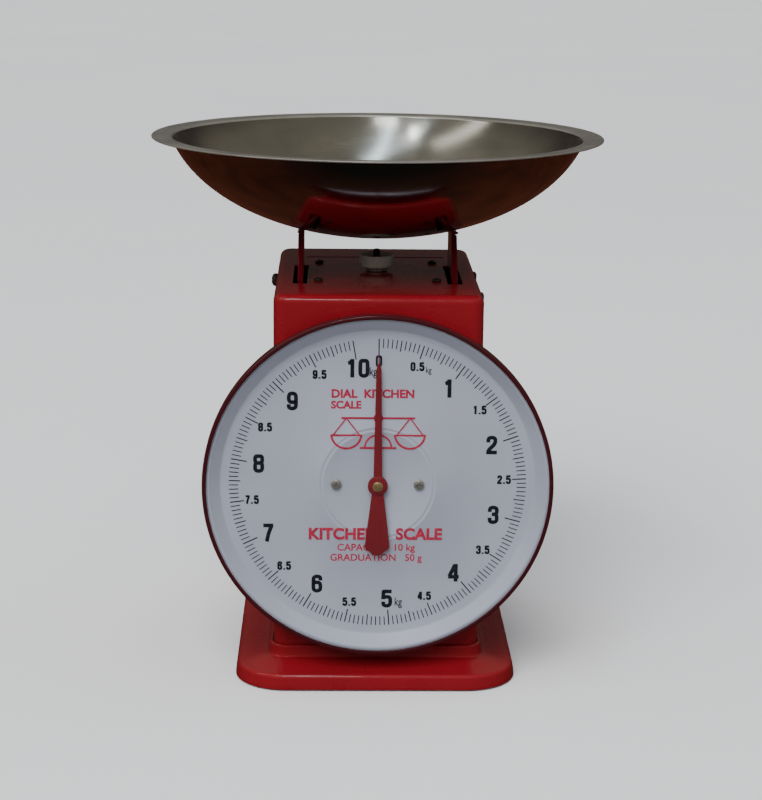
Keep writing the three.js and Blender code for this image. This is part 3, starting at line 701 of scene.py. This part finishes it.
def housing_cutters(half_y):
    """Slots for the posts, holes behind the dial, the rear opening, the top's groove and its screw holes."""
    front, rear, top = (half_y - 5, half_y + 5, FRONT), (half_y - 6, half_y + 6, REAR), (TOP - 8, TOP + 5)
    level = middle("dial_plate").z
    cuts = [(post_slot(side), *top) for side in SIDES]
    cuts.append((circle((0, level), 6, 24), *front))
    for side in SIDES:
        cuts.append((circle((middle(f"dial_screw_{side}").x, level), 2.3, 18), *front))
    cuts += [(REAR_OPENING, *rear), (circle((0, 0), 5, 24), *top), (GROOVE, TOP - 0.9, TOP + 2)]
    for side in SIDES:
        for end in ENDS:
            spot = middle(f"chassis_screw_{end}_{side}")
            cuts.append((circle((spot.x, spot.y), 2.1, 16), *top))
    return [slab_cutter(*cut) for cut in cuts]


def post_slot(side):
    """The outline of a load post's slot in the housing's top."""
    low, high = node_box(f"load_post_{side}")
    outer = high.x if side == "right" else low.x
    centre = (outer - math.copysign(POST_THICK / 2, outer), (low.y + high.y) / 2)
    beside, beyond = SLOT_CLEARANCE
    return rounded_outline(POST_THICK / 2 + beside, (high.y - low.y) / 2 + beyond, 1.5, 4, centre)


def add_rear_cover():
    low, high = node_box("rear_cover")
    centre = (0, (low.z + high.z) / 2)
    half_x, half_z = high.x, (high.z - low.z) / 2
    vertices, faces = plate(rounded_outline(half_x, half_z, 6, 8, centre), low.y, high.y)
    # REAR mirrors the plate, so its faces are turned round.
    piece = plain_object("back_panel", [REAR @ Vector(v) for v in vertices], [face[::-1] for face in faces])
    holes = [circle(spot, 1.9, 16) for spot in COVER_SCREW_SPOTS]
    cut_away(piece, [slab_cutter(hole, low.y - 3, high.y + 3, REAR) for hole in holes])
    piece.data.materials.append(RED)
    finish_piece(piece, "root", "rear_cover", 30, 0.3)


def add_base():
    corner = 31.5
    skirt = [(0, 1), (0, 2.2), (0.2, 4.4), (0.7, 6.6), *arc((3.9, 7.2), 3.1, 172, 108, 6), (4.4, 10.25)]
    ledge = [(8.0, 11.1), (12.5, 12.6), (16.4, 13.8)]
    step = [(18.2, 14.35), *arc((18.9, 16.0), 1.6, -90, -20, 5), (20.7, 17.2), (20.9, 19.6),
            *arc((22.2, 20.7), 1.3, 180, 90, 5), (22.9, 22)]
    outside = [*skirt, *ledge, *step]
    inside = [(22.9, 20.6), (22.5, 16.2), (21.0, 14.4), (18.4, 13.0), (6.0, 8.8), (4.2, 7.9), (2.8, 6.0),
              (1.8, 3.8), (1.5, 1.0)]
    vertices, faces = swept([*outside, *inside], BASE_HIGH.x, BASE_HIGH.y, corner, 16)
    finish_mesh("stepped_base", vertices, faces, RED, "root", replaced="base_tray", slot="red_paint",
                sharp=50)
    for end in ENDS:
        for side in SIDES:
            node = f"foot_{end}_{side}"
            high, centre = node_box(node)[1], middle(node)
            outer = high.x - centre.x
            section = [(4.8, 0.3), (5.1, 0), (outer - 1.1, 0), (outer - 0.7, 0.4), (outer, high.z),
                       (2.3, high.z), (2.3, 1.9), (4.8, 1.9)]
            place = Matrix.Translation((centre.x, centre.y, 0))
            turned(f"rubber_{node}", section, RUBBER, "root", 48, place=place, replaced=node, slot="rubber")


# ---- dial

# The dial has its own frame: x to the right, y up and z to the front.
FACE = 12.0  # the height of the dial's face
EMBOSS, RING_RADII = 0.3, (35.2, 32.6)  # the raised rings round the middle


def add_dial():
    flange = FACE + 6.9
    underside = [(3.5, FACE - 0.8), (33, FACE - 0.8), (92.6, FACE - 0.8), (95.0, FACE), (100.4, FACE + 5.9),
                 (102.6, FACE + 6.1), (103.2, FACE + 6.3)]
    rolled = [(103.3, FACE + 6.6), (103.0, flange), (101.4, flange + 0.1), (100.5, flange - 0.1)]
    wall = smooth_path([(100.5, flange - 0.1), (99.9, flange - 0.9), (97.4, FACE + 3.2), (95.2, FACE + 0.9),
                        (94.3, FACE + 0.2), (93.2, FACE)], 5)
    rings = [(r + step, FACE + EMBOSS * math.sin(math.radians(a)))
             for r in RING_RADII for step, a in ((1, 0), (0.6, 50), (0, 90), (-0.6, 50), (-1, 0))]
    section = [*underside, *rolled, *wall[1:], *rings, (3.5, FACE)]
    turned("dial_face", section, ENAMEL, "root", 192, place=DIAL, replaced="dial_plate", slot="white_enamel",
           sharp=60)

    roll, wide = 1.2, 2.6
    rim = [(RIM_RADIUS - 1.2, 13), (RIM_RADIUS - 0.4, 13), (RIM_RADIUS, 13.4)]
    rim += arc((RIM_RADIUS - roll, RIM_FRONT - roll), roll, 0, 90, 8)
    rim += arc((RIM_RADIUS - wide + 0.45, RIM_FRONT - 0.45), 0.45, 90, 270, 6)
    rim.append((RIM_RADIUS - 1.2, RIM_FRONT - 0.95))
    # The rim's enamel is a darker copy of the red: painted shade and painted reflection.
    turned("dial_rim", rim, RIM_RED_PAINTED_SHADE, "root", 192, place=DIAL, replaced="bezel_ring", slot="dark_red_paint",
           sharp=50)

    back = smooth_path([(84, 0), (90, 2.2), (97.5, 9), (101.2, 15), (102.6, 17.8)], 6)
    inner = [(r - 1.2, z + 0.9) for r, z in reversed(back)]
    case = [(10, 0), *back, (101.3, 17.8), *inner[2:-1], (83.6, 1.2), (10, 1.2)]
    turned("dial_cup", case, RED, "root", 160, place=DIAL, replaced="dial_case", slot="red_paint", sharp=50)

    lens_low, lens_high = node_box("dial_lens")
    front, thick = DIAL_BACK - lens_low.y, 0.8
    lens = [(0, front - thick), (lens_high.x, front - thick), (lens_high.x, front), (0, front)]
    turned("dial_cover", lens, CLEAR, "root", 128, place=DIAL, replaced="dial_lens", slot="clear_acrylic",
           sharp=30)


def clock(radius, degrees):
    """A point on the dial, with the angle clockwise from the top."""
    angle = math.radians(degrees)
    return radius * math.sin(angle), radius * math.cos(angle)


DEGREES_PER_KG = 35.0
INK_LOW, INK_HIGH = FACE + 0.02, FACE + 0.07
OVER_RINGS = FACE + EMBOSS + 0.04  # the height of print that crosses the embossed rings


def ribbon(points, half, low, high):
    """A flat stroke of even width along 2-D points, as a closed solid."""
    vertices = []
    for i, (x, y) in enumerate(points):
        before, after = points[max(i - 1, 0)], points[min(i + 1, len(points) - 1)]
        dx, dy = after[0] - before[0], after[1] - before[1]
        run = math.hypot(dx, dy) / half
        for z in (low, high):
            vertices += [(x - dy / run, y + dx / run, z), (x + dy / run, y - dx / run, z)]
    faces = [(0, 1, 3, 2)]
    for i in range(0, len(vertices) - 4, 4):
        for a, b in ((0, 2), (2, 3), (3, 1), (1, 0)):
            faces.append((i + a, i + b, i + b + 4, i + a + 4))
    end = len(vertices) - 4
    faces.append((end + 2, end + 3, end + 1, end))
    return vertices, faces


def printed_strokes(name, strokes, ink, high=INK_HIGH):
    """Strokes of (points, half width), printed on the dial.

    Each lies a hair above the last, so none flickers where they cross.
    """
    vertices, faces = [], []
    for index, (points, half) in enumerate(strokes):
        top = high + 0.002 * (index % 8)
        block, sides = ribbon(points, half, INK_LOW, top)
        faces += [tuple(len(vertices) + i for i in side) for side in sides]
        vertices += block
    finish_mesh(name, vertices, faces, ink, "root", place=DIAL, slot="white_enamel")


TICKS, TICKS_PER_KG, TICK_RADIUS = 200, 20, 89.2
# Every so many ticks, one has this length and half width.
TICK_SIZES = ((200, (11.5, 0.34)), (20, (9.6, 0.36)), (10, (8.4, 0.34)), (5, (6.8, 0.31)), (1, (5.6, 0.28)))


def add_ticks():
    strokes = []
    for tick in range(TICKS + 1):
        length, half = next(size for step, size in TICK_SIZES if tick % step == 0)
        angle = tick * DEGREES_PER_KG / TICKS_PER_KG
        strokes.append(([clock(TICK_RADIUS - length, angle), clock(TICK_RADIUS, angle)], half))
    printed_strokes("graduation", strokes, BLACK_INK)


# Condensed bold figures, one unit high, drawn as strokes. Corners are rounded by the last number.
LEFT, RIGHT, LOW, HIGH, MID = 0.09, 0.47, 0.09, 0.91, 0.53
FIGURES = {
    "0": [([(0.28, HIGH), (LEFT, HIGH), (LEFT, LOW), (RIGHT, LOW), (RIGHT, HIGH), (0.28, HIGH)], 0.2)],
    "1": [([(0.33, 0), (0.33, 1)], 0), ([(0.1, 0.77), (0.22, 0.8), (0.3, 0.92)], 0.1)],
    "2": [([(LEFT, 0.64), (LEFT, HIGH), (RIGHT, HIGH), (RIGHT, 0.58), (LEFT, 0.2), (LEFT, 0)], 0.2),
          ([(0, LOW), (0.56, LOW)], 0)],
    "3": [([(LEFT, 0.66), (LEFT, HIGH), (RIGHT, HIGH), (RIGHT, MID), (0.2, MID)], 0.18),
          ([(0.2, MID), (RIGHT, MID), (RIGHT, LOW), (LEFT, LOW), (LEFT, 0.34)], 0.18)],
    "4": [([(0.41, 0), (0.41, 1)], 0), ([(0.36, 0.95), (0.06, 0.29)], 0), ([(0, 0.27), (0.58, 0.27)], 0)],
    "5": [([(0.54, HIGH), (0.1, HIGH), (0.08, 0.46)], 0.02),
          ([(0.1, 0.58), (RIGHT, 0.62), (RIGHT, LOW), (LEFT, LOW), (LEFT, 0.33)], 0.2)],
    "6": [([(RIGHT, 0.68), (RIGHT, HIGH), (LEFT, HIGH), (LEFT, LOW), (RIGHT, LOW), (RIGHT, 0.57),
            (LEFT, 0.57)], 0.19)],
    "7": [([(0.01, HIGH), (0.55, HIGH)], 0), ([(RIGHT, HIGH), (0.3, 0.5), (0.2, 0)], 0.2)],
    "8": [([(0.28, HIGH), (LEFT, HIGH), (LEFT, MID), (RIGHT, MID), (RIGHT, HIGH), (0.28, HIGH)], 0.17),
          ([(0.28, MID), (LEFT, MID), (LEFT, LOW), (RIGHT, LOW), (RIGHT, MID), (0.28, MID)], 0.17)],
    "9": [([(LEFT, 0.32), (LEFT, LOW), (RIGHT, LOW), (RIGHT, HIGH), (LEFT, HIGH), (LEFT, 0.43),
            (RIGHT, 0.43)], 0.19)],
    ".": [([(0.2, 0), (0.2, 0.18)], 0)],
}
FIGURE_WIDTH, POINT_WIDTH, FIGURE_GAP = 0.56, 0.4, 0.1


def rounded_path(points, radius):
    """A polyline with its inner corners rounded."""
    steps = 6
    path = [points[0]]
    for before, corner, after in zip(points, points[1:], points[2:]):
        ends = []
        for other in (before, after):
            run = math.dist(corner, other)
            share = min(radius, run / 2) / run
            ends.append([c + (o - c) * share for c, o in zip(corner, other)])
        for i in range(steps + 1 if radius else 1):
            t = i / steps
            weights = ((1 - t) ** 2, 2 * t * (1 - t), t * t)
            points_here = (ends[0], corner, ends[1])
            path.append(tuple(sum(w * q[k] for w, q in zip(weights, points_here)) for k in (0, 1)))
    path.append(points[-1])
    return path


def figures(name, text, spot, height, squeeze, weight):
    """A number printed with its middle at a spot on the dial."""
    widths = [POINT_WIDTH if mark == "." else FIGURE_WIDTH for mark in text]
    total = sum(widths) + FIGURE_GAP * (len(text) - 1)
    start = -total / 2
    strokes = []
    for mark, width in zip(text, widths):
        for points, radius in FIGURES[mark]:
            placed = [(spot[0] + (start + x) * height * squeeze, spot[1] + (y - 0.5) * height)
                      for x, y in points]
            strokes.append((rounded_path(placed, radius * height), weight * height))
        start += width + FIGURE_GAP
    printed_strokes(name, strokes, BLACK_INK)


def lettering(name, text, spot, height, width, ink, weight, align="CENTER", high=INK_HIGH):
    """Printed text. height is a capital's, width squeezes the letters and weight thickens their strokes."""
    curve = bpy.data.curves.new(name, "FONT")
    curve.body = text
    curve.align_x = align
    curve.align_y = "CENTER"
    curve.resolution_u = 4
    curve.size = 1.0
    curve.offset = weight
    curve.extrude = 0.02
    letters = add_object(name, curve)
    graph = bpy.context.evaluated_depsgraph_get()
    mesh = bpy.data.meshes.new_from_object(letters.evaluated_get(graph))
    bpy.data.objects.remove(letters)
    capital = 0.69  # of the built-in font's size
    scale = height / capital
    layers = (high - INK_LOW) / 0.04
    stretch = Matrix.Diagonal((scale * width, scale, layers, 1))
    place = Matrix.Translation((spot[0], spot[1], (INK_LOW + high) / 2))
    mesh.transform(Matrix.Scale(MM, 4) @ DIAL @ place @ stretch)
    mesh.materials.clear()
    mesh.materials.append(ink)
    finish_piece(add_object(name, mesh), "root", sharp=30)


KILO_RADIUS, HALF_RADIUS, ZERO_RADIUS = 72.4, 76, 75.6  # of the middles of the numbers
# Each "kg": the number that it follows, that number's radius, the step to its right and the height.
UNITS = {"half": (0.5, HALF_RADIUS, 6.6, 3.6), "five": (5, KILO_RADIUS, 6.9, 5),
         "ten": (10, KILO_RADIUS, 9.2, 5)}


def add_numerals():
    for kilos in range(1, 11):
        spot = clock(KILO_RADIUS, kilos * DEGREES_PER_KG)
        figures(f"number_{kilos}", str(kilos), spot, 11.2, 1, 0.105)
    figures("number_0", "0", clock(ZERO_RADIUS, 0), 7.2, 0.95, 0.09)
    for half in range(1, 20, 2):
        spot = clock(HALF_RADIUS, half / 2 * DEGREES_PER_KG)
        figures(f"number_{half}_halves", f"{half / 2:.1f}", spot, 5.2, 0.88, 0.125)
    for name, (kilos, radius, shift, height) in UNITS.items():
        x, y = clock(radius, kilos * DEGREES_PER_KG)
        lettering(f"unit_{name}", "kg", (x + shift, y - 2.2), height, 0.72, BLACK_INK, 0.012)


def add_legends():
    lettering("legend_top", "DIAL  KITCHEN", (-28.2, 55.6), 4.8, 1.03, RED_INK, 0.042, "LEFT")
    lettering("legend_top_second", "SCALE", (-28.2, 48.8), 4.4, 1, RED_INK, 0.04, "LEFT")
    lettering("legend_main", "KITCHEN    SCALE", (-1.2, -31.4), 6.7, 1.02, RED_INK, 0.036, high=OVER_RINGS)
    lettering("legend_capacity", "CAPACITY   10 kg", (-0.6, -39.8), 4.2, 1, RED_INK, 0.018)
    lettering("legend_step", "GRADUATION   50 g", (-0.6, -46.2), 4.2, 1, RED_INK, 0.018)
    add_balance_mark()


def add_balance_mark():
    """A plain pair of balance pans, printed between the legends."""
    strokes = [
        ([(-22, 41), (22, 41)], 0.55),
        ([(0, 24), (0, 44)], 0.7),
        (arc((0, 41), 2.4, 0, 360, 24), 0.45),
        (arc((0, 22.6), 8, 0, 180, 18), 0.5),
        ([(-11, 22.6), (11, 22.6)], 0.6),
    ]
    for x in (-19, 19):
        strokes += [([(x, 41), (x - 8, 30.4)], 0.35), ([(x, 41), (x + 8, 30.4)], 0.35),
                    (arc((x, 31.2), 9, 186, 354, 16), 0.6), ([(x - 9.6, 30.4), (x + 9.6, 30.4)], 0.5)]
    printed_strokes("balance_mark", strokes, RED_INK, OVER_RINGS)


def add_pointer():
    blade_low, blade_high = 15.2, 16.3
    tail = [(3.5, -4.5), (7.4, -36.8), (7.5, -38.2), (6.6, -39.6), (2.3, -43.0), (0.9, -43.5)]
    right_side = [(0, 80.0), (0.32, 79.6), (0.42, 75.0), (0.9, 73.8), (1.55, 71.0), (2.6, 5.5), *tail]
    outline = [(-x, y) for x, y in right_side[1:]] + right_side[::-1]
    vertices, faces = plate(outline, blade_low, blade_high)
    finish_mesh("pointer_blade", vertices, faces, POINTER_RED, "indicator", place=DIAL, bevel=0.25,
                replaced="pointer", slot="red_paint", sharp=30)
    bore, hub_back, hub_front = 1.95, blade_low - 0.6, blade_high + 0.75
    hub = [(bore, hub_back), (5.7, hub_back), (6, blade_low - 0.3), (6, blade_high + 0.2),
           (5.4, blade_high + 0.7), (3.6, hub_front), (bore, hub_front)]
    turned("pointer_hub", hub, POINTER_RED, "indicator", 72, place=DIAL, slot="red_paint", sharp=40)
    nut_low = blade_high + 0.8
    nut = [(0, 0.05), (3.0, 0.05), (3.15, 0.4), (3.0, 0.9), (2.4, 1.45), (1.3, 1.75), (0, 1.8)]
    turned("brass_nut", [(r, nut_low + z) for r, z in nut], BRASS, "indicator", 48, place=DIAL,
           replaced="pointer_nut", slot="brass", sharp=50)


# ---- springs


def add_springs():
    """Two tension springs with end hooks, stretched between the yoke and the crossbar."""
    for side in SIDES:
        node = f"main_spring_{side}"
        low, high = node_box(node)
        centre = middle(node)
        wire, hook, hook_room = 0.9, 3.6, 4
        coil = (high.x - low.x) / 2 - wire
        turns, steps = 12, 28
        bottom, top = low.z + wire + hook_room, high.z - wire - hook_room
        count = turns * steps
        angles = [2 * math.pi * i / steps for i in range(count + 1)]
        path = [Vector((coil * math.cos(a), coil * math.sin(a), bottom + (top - bottom) * i / count))
                for i, a in enumerate(angles)]
        bends = [math.pi * i / 12 for i in range(1, 10)]
        head = [Vector((coil * math.cos(a), 0, top + hook * math.sin(a))) for a in bends]
        foot = [Vector((coil * math.cos(a), 0, bottom - hook * math.sin(a))) for a in reversed(bends)]
        vertices, faces = tube(foot + path + head, wire, 10)
        place = Matrix.Translation((centre.x, centre.y, 0))
        spring = finish_mesh(f"tension_spring_{side}", vertices, faces, SPRING_STEEL, None, place=place,
                             replaced=node, slot="spring_steel", sharp=60)
        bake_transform(spring)


def tube(path, radius, sides):
    """A round wire along a path, closed at its ends."""
    vertices, faces = [], []
    guide = Vector((0, 0, 1))
    for i, point in enumerate(path):
        tangent = (path[min(i + 1, len(path) - 1)] - path[max(i - 1, 0)]).normalized()
        across = tangent.cross(guide)
        across = across.normalized() if across.length > 1e-4 else Vector((0, 1, 0))
        other = across.cross(tangent)
        for k in range(sides):
            a = 2 * math.pi * k / sides
            vertices.append(point + radius * (math.cos(a) * across + math.sin(a) * other))
    for i in range(len(path) - 1):
        for k in range(sides):
            a, b = i * sides + k, i * sides + (k + 1) % sides
            faces.append((a, b, b + sides, a + sides))
    faces.append(tuple(range(sides - 1, -1, -1)))
    faces.append(tuple(range(len(vertices) - sides, len(vertices))))
    return vertices, faces


# ---- CAD nodes that stay


def finish_carried_nodes():
    by_slot = {"zinc_steel": ZINC, "dark_steel": DARK_STEEL, "brass": BRASS, "red_paint": RED,
               "dark_red_paint": DARK_RED, "spring_steel": SPRING_STEEL, "rubber": RUBBER,
               "white_enamel": ENAMEL, "cream_plastic": CREAM, "clear_acrylic": CLEAR,
               "stainless": BOWL_INSIDE}
    for node, piece in frame["nodes"].items():
        piece.data.materials.clear()
        piece.data.materials.append(by_slot[node_slot(node)])


# ---- floor, light and camera


def reflected_dark(tree, plain, dark):
    """Joins two shaders, so that mirrors and gloss show the dark one: the object stands in a dim room."""
    path = tree.nodes.new("ShaderNodeLightPath")
    both = tree.nodes.new("ShaderNodeMixShader")
    tree.links.new(path.outputs["Is Glossy Ray"], both.inputs[0])
    tree.links.new(plain, both.inputs[1])
    tree.links.new(dark, both.inputs[2])
    return both.outputs[0]


def add_floor():
    n = Nodes("floor")
    tone = n.mix(n.spread(n.noise(1.5, 3), 0, 1), rgb(0.88, 0.88, 0.89), rgb(0.91, 0.91, 0.91))
    # Light bounced off the floor comes from a darker grey than the floor shows: painted shade on the object's
    # undersides.
    bounced = n.add("ShaderNodeLightPath").outputs["Is Diffuse Ray"]
    n.set(Base_Color=n.mix(bounced, tone, rgb(0.36, 0.35, 0.35)), Roughness=0.9, Specular_IOR_Level=0.1)
    # What gloss sees of the floor glows by itself: a painted dim floor with a painted shadow, darkest in front
    # of the object.
    in_front = n.add("ShaderNodeMapping", Vector=n.place, Location=(0, 0.65, 0), Scale=(1.1, 1, 1)).outputs[0]
    shadow = n.add("ShaderNodeVectorMath", {"operation": "LENGTH"})
    n.feed(shadow.inputs[0], in_front)
    past_shadow = n.spread(shadow.outputs["Value"], 0, 1, 0.4, 0.7)
    ground = n.mix(past_shadow, rgb(0.009, 0.012, 0.01), rgb(0.1, 0.028, 0.016))
    boards = n.mix(n.spread(n.noise(9, 3), 0, 0.6), ground, rgb(0.02, 0.012, 0.009))
    dark = n.add("ShaderNodeEmission", Color=boards, Strength=1.0)
    output = n.tree.nodes["Material Output"]
    n.tree.links.new(reflected_dark(n.tree, n.shader.outputs[0], dark.outputs[0]), output.inputs["Surface"])
    far, level = 15000, -0.2
    corners = [(x, y, level) for x, y in rectangle(-far, -far, far, far)]
    floor = plain_object("floor", corners, [(0, 1, 2, 3)])
    floor.data.materials.append(n.material)


def softbox(name, place, target, size, power, color=(1, 1, 1)):
    light = bpy.data.lights.new(name, "AREA")
    light.shape = "RECTANGLE"
    light.size, light.size_y = size
    light.energy = power
    light.color = color
    lamp = add_object(name, light)
    lamp.location = place
    lamp.rotation_mode = "QUATERNION"
    lamp.rotation_quaternion = (Vector(target) - Vector(place)).to_track_quat("-Z", "Y")


def add_world():
    """A bright even surround that mirrors and gloss see as a dim room."""
    world = bpy.data.worlds.new("studio")
    bpy.context.scene.world = world
    world.use_nodes = True
    tree = world.node_tree
    plain = tree.nodes["Background"]
    plain.inputs["Color"].default_value = rgb(0.93, 0.96, 1.0)
    plain.inputs["Strength"].default_value = 0.5
    room = tree.nodes.new("ShaderNodeBackground")
    place = tree.nodes.new("ShaderNodeTexCoord").outputs["Generated"]
    height = tree.nodes.new("ShaderNodeSeparateXYZ")
    tree.links.new(place, height.inputs[0])
    ramp = tree.nodes.new("ShaderNodeValToRGB")
    tree.links.new(height.outputs["Z"], ramp.inputs[0])
    low, high = ramp.color_ramp.elements
    low.position, low.color = 0.25, rgb(0.05, 0.04, 0.036)
    high.position, high.color = 0.6, rgb(0.22, 0.205, 0.165)
    tree.links.new(ramp.outputs["Color"], room.inputs["Color"])
    joined = reflected_dark(tree, plain.outputs[0], room.outputs[0])
    tree.links.new(joined, tree.nodes["World Output"].inputs["Surface"])


def add_light():
    sun = bpy.data.lights.new("overhead", "SUN")
    sun.energy, sun.angle = 2.8, math.radians(40)
    lamp = add_object("overhead", sun)
    lamp.rotation_euler = (math.radians(44), math.radians(-16), 0)
    lamp.visible_glossy = False  # the softboxes below make the highlights
    softbox("key", (-0.52, -0.75, 1.9), (0, 0, 0.3), (0.11, 0.11), 1.6)
    softbox("strip_middle", (-0.1, -0.5, 2.2), (0, 0, 0.3), (0.1, 2.4), 3.8, (0.72, 0.87, 1))
    softbox("strip_left", (-0.38, -0.5, 2.2), (0, 0, 0.3), (0.12, 2.0), 2, (0.8, 0.91, 1))
    softbox("front_bar", (-0.17, -1.3, 1.7), (0, 0, 0.1), (0.35, 0.12), 2.2)
    softbox("strip_far_left", (-1.3, -0.4, 1.7), (0, 0, 0.3), (0.3, 1.6), 3, (1, 0.98, 0.92))


def add_camera():
    data = bpy.data.cameras.new("camera")
    data.sensor_width = 36.0
    data.lens = 92.75
    data.clip_start, data.clip_end = 0.05, 60
    camera = add_object("camera", data)
    yaw, pitch, roll = (math.radians(a) for a in (1.34, 13.46, 0.64))
    forward = Vector((math.sin(yaw) * math.cos(pitch), math.cos(yaw) * math.cos(pitch), -math.sin(pitch)))
    turn = forward.to_track_quat("-Z", "Y") @ Matrix.Rotation(roll, 3, "Z").to_quaternion()
    camera.rotation_mode = "QUATERNION"
    camera.rotation_quaternion = turn
    camera.location = Vector((-26.4, -1292.3, 465.2)) * MM
    bpy.context.scene.camera = camera


add_camera()
add_floor()
add_world()
add_light()
finish_carried_nodes()
add_bowl()
add_load_parts()
add_zero_adjuster()
add_housing()
add_rear_cover()
add_base()
add_dial()
add_ticks()
add_numerals()
add_legends()
add_pointer()
add_springs()
add_screws()
